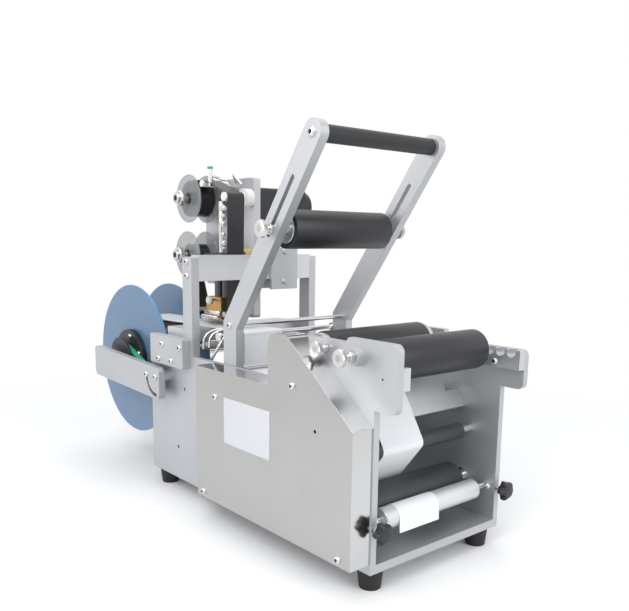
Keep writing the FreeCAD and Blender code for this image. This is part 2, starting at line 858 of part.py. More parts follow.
def make_roller_set():
    reach = outer_x - 1.5
    pulley_in = second_belt_x - 0.4
    pulley_out = second_belt_x + size.belt_width + 0.4
    wheel_in = first_belt_x - 0.4
    wheel_out = first_belt_x + size.belt_width + 0.4
    shaft = size.shaft_radius
    collar = half_roller + 8.0
    rear = turned_piece("rear_roller", stepped([
        (-pulley_out, -pulley_in, size.roller_pulley),
        (-pulley_in, -collar, shaft),
        (-collar, -half_roller, size.roller_radius - 2.0),
        (-half_roller, half_roller, size.roller_radius),
        (half_roller, collar, size.roller_radius - 2.0),
        (collar, reach, shaft),
    ]))
    place(rear, 0, size.rear_roller_y, size.roller_height)
    front = turned_piece("front_roller", stepped([
        (-(half_gap - 0.3), -(half_roller + 6.0), shaft),
        (-(half_roller + 6.0), -half_roller, shaft * 2),
        (-half_roller, half_roller, size.roller_radius),
        (half_roller, half_roller + 6.0, shaft * 2),
        (half_roller + 6.0, half_gap - 0.3, shaft),
    ]))
    place(front, 0, front_roller_y, size.roller_height)
    drive = turned_piece("drive_roller", stepped([
        (-pulley_out, -pulley_in, size.roller_pulley),
        (-pulley_in, -wheel_out, shaft),
        (-wheel_out, -wheel_in, size.wheel_pulley),
        (-wheel_in, -half_roller, shaft),
        (-half_roller, half_roller, size.drive_radius),
        (half_roller, reach, shaft),
    ]))
    place(drive, 0, size.drive_y, size.drive_z)
    guide = turned_piece("guide_roller", stepped([
        (-reach, -half_roller, size.axle_radius),
        (-half_roller, half_roller, size.guide_radius),
        (half_roller, reach, size.axle_radius),
    ]))
    place(guide, 0, size.guide_y, size.guide_z)
    axle = turned_piece("pinch_axle", stepped([(-reach, reach, size.axle_radius)]))
    place(axle, 0, pinch_y, size.pinch_z)
    pinch = turned_piece("pinch_roller", stepped([(-half_roller, half_roller, size.pinch_radius)], axle_bore))
    place(pinch, 0, pinch_y, size.pinch_z)
    web = turned_piece("web_roller", stepped([
        (-(half_gap + 2.0), -(half_roller + 5.0), size.stud_radius),
        (-(half_roller + 5.0), -half_roller, size.web_roller_radius - 1.0),
        (-half_roller, half_roller, size.web_roller_radius),
        (half_roller, half_roller + 5.0, size.web_roller_radius - 1.0),
        (half_roller + 5.0, half_gap + 2.0, size.stud_radius),
    ]))
    place(web, 0, web_roller_y, web_roller_z)


def make_bearings():
    inset = (size.plate_thick - size.bearing_width) / 2
    rings = []
    for x in (-(half_gap + inset + size.bearing_width), half_gap + inset):
        for y, z in ((size.rear_roller_y, size.roller_height), (size.drive_y, size.drive_z)):
            ring = turned_piece(f"bearing_{len(rings)}",
                                stepped([(0.0, size.bearing_width, size.bearing_radius)], bore_radius))
            rings.append(place(ring, x, y, z))
    grouped("roller_bearings", rings)


def make_motor():
    half = size.motor_side / 2
    y, z = size.motor_y, size.motor_z
    outline = [
        (y - half, z - half),
        (y - half, z + half),
        (y + half, z + half),
        (y + half, z - half),
    ]
    motor = flat_piece("drive_motor", outline, size.motor_length, [((y, z), axle_bore)])
    round_edges(motor, outline, 5.0, 0)
    place(motor, -half_gap, 0, 0)
    wheel_in = first_belt_x - 0.4
    wheel_out = first_belt_x + size.belt_width + 0.4
    pulley = turned_piece("motor_pulley", stepped([
        (-wheel_out, -wheel_in, size.motor_pulley),
        (-wheel_in, -(half_gap - 20.0), size.axle_radius),
    ]))
    place(pulley, 0, y, z)


def loop_wire(first, first_radius, second, second_radius):
    """The taut line round two wheels, in the plane x = 0."""
    along = second - first
    heading = math.atan2(along.z, along.y)
    spread = math.acos((first_radius - second_radius) / along.Length)

    def rim(centre, radius, angle):
        return centre + FreeCAD.Vector(0, math.cos(angle), math.sin(angle)) * radius

    upper = heading + spread
    lower = heading - spread
    edges = [
        Part.LineSegment(rim(first, first_radius, upper), rim(second, second_radius, upper)).toShape(),
        Part.Arc(rim(second, second_radius, upper), rim(second, second_radius, heading),
                 rim(second, second_radius, lower)).toShape(),
        Part.LineSegment(rim(second, second_radius, lower), rim(first, first_radius, lower)).toShape(),
        Part.Arc(rim(first, first_radius, lower), rim(first, first_radius, heading + math.pi),
                 rim(first, first_radius, upper)).toShape(),
    ]
    return Part.Wire(edges)


def strap_loop(label, x, wheels, width):
    """A flat belt round two wheels, held a little off them."""
    (y1, z1, r1), (y2, z2, r2) = [[number(term) for term in wheel] for wheel in wheels]
    first = FreeCAD.Vector(0, y1, z1)
    second = FreeCAD.Vector(0, y2, z2)
    gap = 0.3
    thick = number(size.belt_thick)
    outer = Part.Face(loop_wire(first, r1 + gap + thick, second, r2 + gap + thick))
    inner = Part.Face(loop_wire(first, r1 + gap, second, r2 + gap))
    ring = outer.cut(inner)
    item = document.addObject("Part::Feature", label)
    item.Label = label
    item.Shape = ring.extrude(FreeCAD.Vector(number(width), 0, 0))
    return place(item, x, 0, 0)


def make_belts():
    motor_loop = strap_loop("motor_belt", -(first_belt_x + size.belt_width), [
        (size.motor_y, size.motor_z, size.motor_pulley),
        (size.drive_y, size.drive_z, size.wheel_pulley),
    ], size.belt_width)
    roller_loop = strap_loop("roller_belt", -(second_belt_x + size.belt_width), [
        (size.drive_y, size.drive_z, size.roller_pulley),
        (size.rear_roller_y, size.roller_height, size.roller_pulley),
    ], size.belt_width)
    grouped("drive_belts", [motor_loop, roller_loop])


def make_controller():
    block("controller_box", size.controller_x, size.controller_y, base_top,
          size.controller_width, size.controller_depth, size.controller_height)


def make_knobs():
    """Star knobs whose studs thread into the side plates' front edges."""
    lobes = 5
    reach = 9.0
    for label, side in (("left_star_knob", -1), ("right_star_knob", 1)):
        x = (half_gap + size.plate_thick / 2) * side
        hub = rod(label + "_hub", x, -6.0, size.pinch_z, reach, 12.0, FreeCAD.Rotation(FreeCAD.Vector(1, 0, 0), 90))
        stud = rod(label + "_stud", x, slot_front - axle_bore - 0.2, size.pinch_z,
                   size.stud_radius - size.running_gap, slot_front - axle_bore + 5.8,
                   FreeCAD.Rotation(FreeCAD.Vector(1, 0, 0), 90))
        pieces = [hub, stud]
        for lobe in range(lobes):
            angle = 2 * math.pi * lobe / lobes
            pieces.append(rod(f"{label}_lobe_{lobe}", x + reach * math.cos(angle), -6.0,
                              size.pinch_z + reach * math.sin(angle), 3.6, 12.0,
                              FreeCAD.Rotation(FreeCAD.Vector(1, 0, 0), 90)))
        fused(label, pieces)


def make_lock_screws():
    stud = size.stud_radius
    inner = half_gap + 1.0
    boss_end = outer_x + size.lock_boss_length + 0.3
    head_end = cover_x + size.button_reach
    front = turned_piece("front_lock_screw", stepped([
        (-head_end, -(head_end - 5.0), 9.5),
        (-(head_end - 5.0), -(boss_end + 6.0), 4.0),
        (-(boss_end + 6.0), -boss_end, 6.5),
        (-boss_end, -inner, stud),
    ]))
    place(front, 0, *thumb_places[0])
    rest = outer_x + 0.3
    rear = turned_piece("rear_lock_screw", stepped([
        (-(rest + 17.0), -(rest + 12.0), 9.0),
        (-(rest + 12.0), -(rest + 6.0), 4.0),
        (-(rest + 6.0), -rest, 5.0),
        (-rest, -inner, stud),
    ]))
    place(rear, 0, *thumb_places[1])


# ---- press frame ----------------------------------------------------------------------------

def along_arm(distance, across=0.0):
    """A point beyond the knee along the leaning arm, moved across it towards the rear."""
    y = size.press_pivot_y - sine(size.arm_lean) * distance + cosine(size.arm_lean) * across
    z = knee_z + cosine(size.arm_lean) * distance + sine(size.arm_lean) * across
    return y, z


def make_press_arms():
    half = size.arm_width / 2
    mitre = half * (1 - cosine(size.arm_lean)) / sine(size.arm_lean)
    y, z = size.press_pivot_y, press_pivot_z
    tip = size.arm_length + half
    outline = [
        (y - half, z - half),
        (y - half, knee_z - mitre),
        along_arm(tip, -half),
        along_arm(tip, half),
        (y + half, knee_z + mitre),
        (y + half, z - half),
    ]
    holes = [
        ((y, z), bore_radius),
        ((y, knee_z), size.screw_radius),
        (along_arm(size.arm_length), size.stud_radius),
    ]
    slot = (along_arm(size.press_place - size.press_down), along_arm(size.press_place + size.press_up),
            size.stud_radius + size.running_gap)
    arms = []
    for side in (-1, 1):
        arm = flat_piece(f"press_arm_{len(arms)}", outline, size.arm_thick, holes, [slot], reverse=side > 0)
        round_edges(arm, [outline[0], outline[2], outline[3], outline[5]], half * 0.98, 0)
        arms.append(place(arm, arm_outer * side, 0, 0))
    grouped("press_arms", arms)


def end_bored(label, reach, radius, bore, depth):
    """A turned bar with the same blind bore in both ends."""
    return turned_piece(label, [
        (-reach, bore),
        (-reach, radius),
        (reach, radius),
        (reach, bore),
        (reach - depth, bore),
        (reach - depth, 0.0),
        (-(reach - depth), 0.0),
        (-(reach - depth), bore),
    ])


def make_press_frame():
    make_press_arms()
    handle_place = along_arm(size.arm_length)
    handle = end_bored("handle_tube", arm_inner, size.handle_radius, size.stud_radius, 15.0)
    place(handle, 0, *handle_place)
    tie = rod("tie_rod", -arm_inner, size.press_pivot_y, knee_z, size.tie_radius, arm_inner * 2)
    tie.Label = "tie_rod"
    screws = []
    for side in (-1, 1):
        y, z = handle_place
        screws.append(button_screw(f"handle_screw_{side}", arm_outer * side, y, z, side, size.arm_thick + 15.0,
                                   size.stud_radius, 6.5, 3.0))
        screws.append(button_screw(f"knee_screw_{side}", arm_outer * side, size.press_pivot_y, knee_z, side,
                                   size.arm_thick))
    grouped("press_frame_screws", screws)
    y, z = along_arm(size.press_place)
    axle = end_bored("press_axle", arm_inner - 0.2, size.shaft_radius, size.stud_radius + size.running_gap, 14.0)
    place(axle, 0, y, z)
    roller = turned_piece("press_roller", stepped([(-half_roller, half_roller, size.roller_radius)], bore_radius))
    place(roller, 0, y, z)
    rest = arm_outer + 0.2
    for label, rotation in (("left_thumb_screw", FLIPPED_X), ("right_thumb_screw", ALONG_X)):
        thumb = turned_piece(label, stepped([
            (arm_inner - 12.0, rest, size.stud_radius),
            (rest, rest + 4.0, 7.0),
            (rest + 4.0, rest + 11.0, 4.0),
            (rest + 11.0, rest + 17.0, size.thumb_radius),
        ]))
        place(thumb, 0, y, z, rotation)
    pins = []
    for side, rotation in ((-1, FLIPPED_X), (1, ALONG_X)):
        pin = turned_piece(f"pivot_pin_{len(pins)}", stepped([
            (arm_inner, outer_x, size.shaft_radius),
            (outer_x, outer_x + 4.0, 9.0),
        ]))
        pins.append(place(pin, 0, size.press_pivot_y, press_pivot_z, rotation))
    grouped("press_pivot_pins", pins)


# ---- screws ---------------------------------------------------------------------------------

TOWARDS_MINUS_X = FreeCAD.Rotation(FreeCAD.Vector(0, 1, 0), -90)


def button_screw(label, x, y, z, side, grip, radius=None, head=None, rise=None):
    """A button-head screw seated at x, its head facing side and its shank reaching back by grip."""
    radius = size.screw_radius if radius is None else radius
    head = size.head_radius if head is None else head
    rise = size.head_rise if rise is None else rise
    outwards = CYLINDER_X if side > 0 else TOWARDS_MINUS_X
    inwards = TOWARDS_MINUS_X if side > 0 else CYLINDER_X
    cap = cone(label + "_head", x, y, z, head, head * 0.72, rise, outwards)
    shank = rod(label + "_shank", x, y, z, radius, grip, inwards)
    return fused(label, [cap, shank])


def make_frame_screws():
    """Button heads on the beam and the reel brackets, and the four screws that the reel arms swing on."""
    screws = []
    for side in (-1, 1):
        rotation = CYLINDER_X if side > 0 else TOWARDS_MINUS_X
        seats = [(outer_x, spot) for spot in beam_screw_places]
        seats += [(outer_x + size.bracket_thick, spot) for spot in bracket_screw_places]
        for x, (y, z) in seats:
            screws.append(cone(f"frame_screw_{len(screws)}", x * side, y, z, size.head_radius,
                               size.head_radius * 0.72, size.head_rise, rotation))
        for y, z in (pivot_screw, clamp_screw):
            screws.append(button_screw(f"frame_screw_{len(screws)}",
                                       (arm_plane + size.reel_arm_thick + 0.2) * side, y, z, side,
                                       size.reel_arm_thick + 12.0))
    grouped("frame_screws", screws)


# ---- gantry ---------------------------------------------------------------------------------

def make_gantry():
    front = post_y
    back = front + size.post_depth
    outline = [
        (front, size.deck_height),
        (front, post_top),
        (back, post_top),
        (back, size.deck_height),
    ]
    holes = [(spot, size.screw_radius) for spot in beam_screw_places]
    holes.append(((web_roller_y, web_roller_z), size.stud_radius + size.running_gap))
    posts = []
    for side in (-1, 1):
        post = flat_piece(f"gantry_post_{len(posts)}", outline, size.post_width, holes, reverse=side > 0)
        round_edges(post, outline[1:3], 1.5, 0)
        posts.append(place(post, outer_x * side, 0, 0))
    grouped("gantry_posts", posts)
    half_beam = outer_x - size.post_width
    bar = block("beam_bar", -half_beam, front, beam_bottom,
                half_beam * 2, size.beam_depth, beam_top - beam_bottom)
    tapped = []
    for side, rotation in ((-1, CYLINDER_X), (1, TOWARDS_MINUS_X)):
        for y, z in beam_screw_places:
            tapped.append(rod(f"beam_hole_{len(tapped)}", half_beam * side, y, z, size.screw_radius, 10.0, rotation))
    cut("gantry_beam", bar, tapped)
    block("print_platen", -half_gap, platen_y, web_height - size.platen_height,
          size.plate_gap, size.platen_depth, size.platen_height)


# ---- label reel -----------------------------------------------------------------------------

def make_reel_brackets():
    low = bracket_bottom
    outline = [
        (bracket_y, low),
        (bracket_y, low + size.bracket_height),
        (bracket_y + size.bracket_length, low + size.bracket_height),
        (bracket_y + size.bracket_length, low),
    ]
    holes = [(spot, size.screw_radius) for spot in bracket_screw_places]
    brackets = []
    for side in (-1, 1):
        bracket = flat_piece(f"reel_bracket_{len(brackets)}", outline, size.bracket_thick, holes, reverse=side < 0)
        round_edges(bracket, outline, 2.0, 0)
        brackets.append(place(bracket, outer_x * side, 0, 0))
    grouped("reel_brackets", brackets)


def make_reel_arms():
    """Two arms that tilt about their front screws; a quarter-circle slot runs under the clamp screw."""
    y, z = pivot_screw
    front = y - size.reel_arm_front
    back = front + size.reel_arm_length
    outline = [
        (front, z - 33.0),
        (front, z + 13.0),
        (back, z + 21.0),
        (back, z - 27.0),
    ]
    loose = size.screw_radius + size.running_gap
    arms = []
    for side in (-1, 1):
        name = f"reel_arm_{len(arms)}"
        bar = flat_piece(name + "_bar", outline, size.reel_arm_thick, [((y, z), loose)], reverse=side < 0)
        round_edges(bar, outline, 8.0, 0)
        place(bar, arm_plane * side, 0, 0)
        start = arm_plane * side if side > 0 else -(arm_plane + size.reel_arm_thick)
        ring = rod(name + "_ring", start, y, z, size.clamp_radius + loose + 0.1, size.reel_arm_thick)
        core = rod(name + "_core", start, y, z, size.clamp_radius - loose - 0.1, size.reel_arm_thick)
        for item in (ring, core):
            item.Angle = 90
        slot = cut(name + "_slot", ring, [core])
        ends = [
            rod(name + "_slot_end", start, y + size.clamp_radius, z, loose + 0.1, size.reel_arm_thick),
            rod(name + "_slot_low", start, y, z - size.clamp_radius, loose + 0.1, size.reel_arm_thick),
        ]
        inwards = CYLINDER_X if side > 0 else TOWARDS_MINUS_X
        seat = rod(name + "_seat", arm_plane * side, reel_y, reel_z, bore_radius,
                   size.reel_arm_thick - 2.0, inwards)
        arm = cut(name, bar, [slot, seat] + ends)
        if side < 0:
            peg = rod("brake_peg", -arm_plane, peg_y, peg_z, size.peg_radius,
                      arm_plane - drum_x)
            arm = fused(name + "_pegged", [arm, peg])
        arms.append(arm)
    grouped("reel_arms", arms)


def make_reel():
    near = size.near_disc_x
    core_left = near + size.disc_thick
    core_right = core_left + size.reel_width
    far = core_right + size.disc_thick
    tip = arm_plane + size.reel_arm_thick - 2.4
    spindle = turned_piece("reel_hub", stepped([
        (-tip, -(drum_x + size.drum_width + 4.0), size.shaft_radius),
        (-(drum_x + size.drum_width + 4.0), -(drum_x + size.drum_width), size.core_radius),
        (-(drum_x + size.drum_width), -drum_x, size.drum_radius),
        (-drum_x, near, size.hub_radius),
        (near, far, size.core_radius),
        (far, far + size.hub_thick, size.hub_radius),
        (far + size.hub_thick, tip, size.shaft_radius),
    ]))
    place(spindle, 0, reel_y, reel_z)
    discs = []
    for x in (near, core_right):
        disc = turned_piece(f"reel_disc_{len(discs)}",
                            stepped([(0.0, size.disc_thick, size.reel_radius)], size.core_radius))
        discs.append(place(disc, x, reel_y, reel_z))
    grouped("reel_discs", discs)
    roll = turned_piece("label_roll", stepped([(0.5, size.reel_width - 0.5, size.roll_radius)], size.core_radius))
    place(roll, core_left, reel_y, reel_z)
    strap_loop("brake_strap", -(drum_x + size.drum_width - 1.0), [
        (reel_y, reel_z, size.drum_radius),
        (peg_y, peg_z, size.peg_radius),
    ], size.drum_width - 2.0)


# ---- ribbon coder ---------------------------------------------------------------------------

def make_coder_plate():
    front = coder_front
    back = front + size.coder_length
    low = coder_bottom
    foot = coder_foot
    outline = [
        (front, foot),
        (front, coder_top),
        (back, coder_top),
        (back, low),
        (front + 100.0, low),
        (front + 100.0, foot),
        (front + 82.0, foot),
        (front + 82.0, low),
        (front + 18.0, low),
        (front + 18.0, foot),
    ]
    pin_bore = size.stud_radius + size.running_gap
    holes = [
        ((supply_y, supply_z), axle_bore),
        ((takeup_y, takeup_z), axle_bore),
        (front_guide, pin_bore),
        (rear_guide, pin_bore),
    ]
    body = flat_piece("coder_plate", outline, size.coder_thick, holes)
    pins = new_sketch(body, "YZ_Plane")
    for y in (front + 9.0, front + 91.0):
        add_circle(pins, (y, foot + 7.0), 4.0)
    pad(body, pins, size.coder_x - size.ribbon_left + 2.0, reverse=True)
    round_edges(body, [outline[0], outline[1], outline[2], outline[3]], 4.0, 0)
    place(body, size.coder_x, 0, 0)


def make_coder_clamp():
    x = size.coder_x + size.coder_thick
    low = beam_bottom - 15.0
    high = beam_top + 9.7 - low
    front_y = post_y - size.slide_gap - size.clamp_thick
    back_y = post_y + size.beam_depth + size.slide_gap
    pieces = []
    for name, y, deep in (("clamp_front", front_y, size.clamp_thick), ("clamp_back", back_y, 15.0)):
        slab = block(name + "_slab", x, y, low, size.clamp_width, deep, high)
        bores = []
        for z in clamp_screw_heights:
            bores.append(rod(f"{name}_bore_{len(bores)}", x + size.clamp_width / 2, y, z,
                             size.screw_radius, deep, CYLINDER_Y))
        pieces.append(cut(name, slab, bores))
    for z in clamp_screw_heights:
        name = f"clamp_screw_{len(pieces)}"
        middle = x + size.clamp_width / 2
        cap = cone(name + "_head", middle, front_y, z, size.head_radius, size.head_radius * 0.72, size.head_rise,
                   FreeCAD.Rotation(FreeCAD.Vector(1, 0, 0), 90))
        shank = rod(name + "_shank", middle, front_y, z, size.screw_radius,
                    size.clamp_thick + size.beam_depth + 12.0, CYLINDER_Y)
        pieces.append(fused(name, [cap, shank]))
    grouped("coder_clamp", pieces)


def make_coder_housing():
    """Gearbox of the take-up drive, with the end of its motor standing out of the far face."""
    front = coder_front + 6.0
    back = front + size.gearbox_depth
    low = coder_top - size.gearbox_drop
    high = low + size.gearbox_height
    outline = [
        (front, low),
        (front, high),
        (back, high),
        (back, low),
    ]
    body = flat_piece("coder_housing", outline, size.gearbox_length)
    motor = new_sketch(body, "YZ_Plane")
    add_circle(motor, ((front + back) / 2, (low + high) / 2), size.gearbox_motor)
    pad(body, motor, size.gearbox_length + size.gearbox_motor_reach)
    round_edges(body, outline, 6.0, 0)
    place(body, size.coder_x + size.coder_thick, 0, 0)


def make_print_head():
    front = head_y
    low = head_bottom
    top = low + size.head_height
    outline = [
        (front, low),
        (front, top),
        (front + size.head_depth, top),
        (front + size.head_depth, low),
    ]
    holes = [((front + 25.0, top - 7.0), 4.0)]
    body = flat_piece("head_block", outline, size.head_width, holes)
    place(body, head_left, 0, 0)
    holder_low = top + size.holder_rise
    holder = block("holder_block", head_left, front - 4.0, holder_low,
                   size.coder_x - head_left, size.head_depth + 8.0, size.holder_height)
    bores = []
    columns = []
    middle = head_left + size.head_width / 2
    for y in (front + 10.0, front + 30.0):
        columns.append(rod(f"head_column_{len(columns)}", middle, y, top, size.column_radius, size.column_length, ALONG_X))
        bores.append(rod(f"holder_bore_{len(bores)}", middle, y, holder_low,
                         size.column_radius + size.running_gap, size.holder_height, ALONG_X))
    grouped("print_head", [body] + columns)
    cut("head_holder", holder, bores)


def make_spools():
    left = size.ribbon_left
    right = left + size.ribbon_width
    disc = size.spool_disc
    tip = size.coder_x + size.coder_thick - 0.5
    for name, y, z in (("supply", supply_y, supply_z), ("takeup", takeup_y, takeup_z)):
        spool = turned_piece(name + "_spool", stepped([
            (left - 24.0, left - 10.0, size.collar_radius),
            (left - 10.0, left - disc - 1.0, 5.0),
            (left - disc - 1.0, right + disc + 1.0, size.spool_hub),
            (right + disc + 1.0, tip, size.axle_radius),
        ]))
        place(spool, 0, y, z)
        discs = []
        for x in (left - disc, right):
            ring = turned_piece(f"{name}_disc_{len(discs)}",
                                stepped([(0.0, disc, size.spool_radius)], size.spool_hub))
            discs.append(place(ring, x, y, z))
        grouped(name + "_discs", discs)
    shaft = size.stud_radius
    front = turned_piece("ribbon_roller_front", stepped([
        (left - 2.0, right + 1.0, 6.5),
        (right + 1.0, size.coder_x - 2.0, 13.0),
        (size.coder_x - 2.0, tip, shaft),
    ]))
    place(front, 0, *front_guide)
    rear = turned_piece("ribbon_roller_rear", stepped([
        (left - 2.0, size.coder_x - 2.0, 5.0),
        (size.coder_x - 2.0, tip, shaft),
    ]))
    place(rear, 0, *rear_guide)


# ---- shared places of the covers, drive, gantry and coder ------------------------------------

button_places = [
    (size.housing_front + 60.0, housing_top - 35.0),
    (size.housing_front + 95.0, housing_top - 35.0),
]
inlet_x = 55.0
inlet_z = 82.0
rocker_z = 94.5
first_belt_x = outer_x + 3.0
second_belt_x = first_belt_x + size.belt_width + 2.0
arm_outer = half_gap - size.arm_side_gap
arm_inner = arm_outer - size.arm_thick
arm_plane = outer_x + size.bracket_thick + 0.5
drum_x = size.hub_thick - size.near_disc_x
beam_screw_places = [
    (post_y + size.post_depth / 2, beam_top - 8.8),
    (post_y + size.post_depth / 2, beam_bottom + 7.5),
]
front_guide = (coder_front + 7.0, coder_top - 29.0)
rear_guide = (coder_front + 66.0, coder_top - 8.0)
clamp_screw_heights = (beam_top + 5.3, beam_bottom - 3.4)
head_left = size.ribbon_left - 2.0

make_base_plate()
make_side_plates()
make_feet()
make_combs()
make_cross_bar()
make_peel_plate()
make_side_cover()
make_control_housing()
make_buttons()
make_rear_panel()
make_roller_set()
make_bearings()
make_motor()
make_belts()
make_controller()
make_knobs()
make_lock_screws()
make_press_frame()
make_frame_screws()
make_gantry()
make_reel_brackets()
make_reel_arms()
make_reel()
make_coder_plate()
make_coder_clamp()
make_coder_housing()
make_print_head()
make_spools()

NODES = [
    "base_plate", "left_side_plate", "right_side_plate", "rubber_feet", "front_combs",
    "front_cross_bar", "peel_plate", "side_cover", "control_housing", "start_button",
    "stop_button", "rear_panel", "power_inlet", "power_rocker", "rear_roller", "front_roller",
    "drive_roller", "guide_roller", "pinch_axle", "pinch_roller", "web_roller", "roller_bearings",
    "drive_motor", "motor_pulley", "drive_belts", "controller_box", "left_star_knob", "right_star_knob",
    "front_lock_screw", "rear_lock_screw", "press_arms", "handle_tube", "tie_rod", "press_frame_screws",
    "press_axle", "press_roller", "left_thumb_screw", "right_thumb_screw", "press_pivot_pins",
    "frame_screws", "gantry_posts", "gantry_beam", "print_platen", "reel_brackets", "reel_arms",
    "reel_hub", "reel_discs", "label_roll", "brake_strap", "coder_plate", "coder_clamp",
    "coder_housing", "print_head", "head_holder", "supply_spool", "supply_discs",
    "takeup_spool", "takeup_discs", "ribbon_roller_front", "ribbon_roller_rear",
]

document.recompute()
faults = [item.Label for item in document.Objects if "Invalid" in item.State or "Error" in item.State]
if faults:
    raise RuntimeError("these objects failed: " + ", ".join(faults))
pieces = []
for label in NODES:
    piece = document.getObjectsByLabel(label)[0]
    if piece.Shape.isNull() or not piece.Shape.isValid():
        raise RuntimeError(label + " has no valid shape")
    pieces.append(piece)
os.makedirs("parts", exist_ok=True)
for piece in pieces:
    piece.Shape.exportStep(f"parts/{piece.Label}.step")
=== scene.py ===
"""Looks of the bottle labelling machine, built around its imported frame.

Lengths are metres. Places inside the machine are written in millimetres through spot(), measured
across from the middle plane, back from the side plates' front edge and up from the floor.
"""
import json
import math

import bmesh
import bpy
from mathutils import Matrix, Vector


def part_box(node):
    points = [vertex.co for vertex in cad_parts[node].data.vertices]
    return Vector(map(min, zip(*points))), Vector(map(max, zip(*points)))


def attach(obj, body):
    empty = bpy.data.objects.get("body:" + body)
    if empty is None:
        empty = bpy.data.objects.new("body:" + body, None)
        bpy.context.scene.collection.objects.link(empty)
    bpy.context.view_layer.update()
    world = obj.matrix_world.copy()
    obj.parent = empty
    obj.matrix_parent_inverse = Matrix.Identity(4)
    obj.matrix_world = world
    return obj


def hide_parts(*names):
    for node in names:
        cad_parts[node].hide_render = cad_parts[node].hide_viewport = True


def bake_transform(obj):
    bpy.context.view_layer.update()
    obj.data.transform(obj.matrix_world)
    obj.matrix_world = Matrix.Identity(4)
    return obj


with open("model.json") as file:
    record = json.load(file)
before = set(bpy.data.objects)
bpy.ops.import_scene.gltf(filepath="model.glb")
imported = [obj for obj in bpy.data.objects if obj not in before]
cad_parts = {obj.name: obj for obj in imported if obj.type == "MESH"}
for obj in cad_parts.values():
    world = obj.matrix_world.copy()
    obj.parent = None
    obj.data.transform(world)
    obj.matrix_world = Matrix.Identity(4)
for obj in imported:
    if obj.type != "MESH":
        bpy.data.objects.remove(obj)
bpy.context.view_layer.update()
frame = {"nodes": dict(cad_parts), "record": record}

MM = 0.001
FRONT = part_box("base_plate")[0].y
X_AXIS = Vector((1, 0, 0))
Y_AXIS = Vector((0, 1, 0))
Z_AXIS = Vector((0, 0, 1))


def spot(x, y, z):
    return Vector((x * MM, FRONT + y * MM, z * MM))


def flush(x, y, z):
    """A place at x metres across, with y and z in millimetres as in spot()."""
    return Vector((x, *spot(0, y, z).yz))


def middle(node):
    low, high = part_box(node)
    return (low + high) / 2


# ---- materials --------------------------------------------------------------------------------

def surface(name, colour, rough=0.4, metal=0.0, grain=400.0, stretch=(1, 1, 1), depth=0.0, shade=0.05,
            rough_shade=0.08, edge=0.0, coat=0.0, alpha=1.0, transmission=0.0):
    """A surface whose colour, gloss and height vary with noise of the given grain, in cycles per metre."""
    material = bpy.data.materials.new(name)
    material.use_nodes = True
    nodes = material.node_tree.nodes
    link = material.node_tree.links.new
    shader = nodes["Principled BSDF"]
    shader.inputs["Metallic"].default_value = metal
    shader.inputs["Coat Weight"].default_value = coat
    shader.inputs["Coat Roughness"].default_value = 0.15
    shader.inputs["Alpha"].default_value = alpha
    shader.inputs["Transmission Weight"].default_value = transmission
    place = nodes.new("ShaderNodeTexCoord")
    scale = nodes.new("ShaderNodeMapping")
    scale.inputs["Scale"].default_value = stretch
    link(place.outputs["Object"], scale.inputs["Vector"])
    fine = nodes.new("ShaderNodeTexNoise")
    fine.inputs["Scale"].default_value = grain
    fine.inputs["Detail"].default_value = 4.0
    link(scale.outputs["Vector"], fine.inputs["Vector"])
    broad = nodes.new("ShaderNodeTexNoise")
    broad.inputs["Scale"].default_value = 14.0
    broad.inputs["Detail"].default_value = 2.0
    link(place.outputs["Object"], broad.inputs["Vector"])
    blend = nodes.new("ShaderNodeMath")
    blend.operation = "MULTIPLY_ADD"
    blend.inputs[1].default_value = 0.5
    link(fine.outputs["Fac"], blend.inputs[0])
    half = nodes.new("ShaderNodeMath")
    half.operation = "MULTIPLY"
    half.inputs[1].default_value = 0.5
    link(broad.outputs["Fac"], half.inputs[0])
    link(half.outputs[0], blend.inputs[2])
    tint = nodes.new("ShaderNodeValToRGB")
    tint.color_ramp.elements[0].position = 0.3
    tint.color_ramp.elements[1].position = 0.7
    tint.color_ramp.elements[0].color = [part * (1 - shade) for part in colour] + [1]
    tint.color_ramp.elements[1].color = [min(1, part * (1 + shade)) for part in colour] + [1]
    link(blend.outputs[0], tint.inputs["Fac"])
    link(tint.outputs["Color"], shader.inputs["Base Color"])
    gloss = nodes.new("ShaderNodeMapRange")
    gloss.inputs["From Min"].default_value = 0.3
    gloss.inputs["From Max"].default_value = 0.7
    gloss.inputs["To Min"].default_value = rough * (1 - rough_shade)
    gloss.inputs["To Max"].default_value = rough * (1 + rough_shade)
    link(blend.outputs[0], gloss.inputs["Value"])
    link(gloss.outputs["Result"], shader.inputs["Roughness"])
    if depth:
        relief = nodes.new("ShaderNodeBump")
        relief.inputs["Distance"].default_value = depth
        relief.inputs["Strength"].default_value = 0.6
        link(fine.outputs["Fac"], relief.inputs["Height"])
        link(relief.outputs["Normal"], shader.inputs["Normal"])
        if edge:
            soften = nodes.new("ShaderNodeBevel")
            soften.samples = 4
            soften.inputs["Radius"].default_value = edge
            link(soften.outputs["Normal"], relief.inputs["Normal"])
    return material


def woven(name, colour, pitch):
    """Cloth strap: threads crossing every pitch metres."""
    material = surface(name, colour, rough=0.8, grain=900, shade=0.2)
    nodes = material.node_tree.nodes
    link = material.node_tree.links.new
    place = nodes.new("ShaderNodeTexCoord")
    threads = nodes.new("ShaderNodeTexWave")
    threads.inputs["Scale"].default_value = 1 / pitch / 6.28
    threads.inputs["Distortion"].default_value = 0.4
    link(place.outputs["Object"], threads.inputs["Vector"])
    relief = nodes.new("ShaderNodeBump")
    relief.inputs["Distance"].default_value = 0.0002
    link(threads.outputs["Fac"], relief.inputs["Height"])
    link(relief.outputs["Normal"], nodes["Principled BSDF"].inputs["Normal"])
    return material


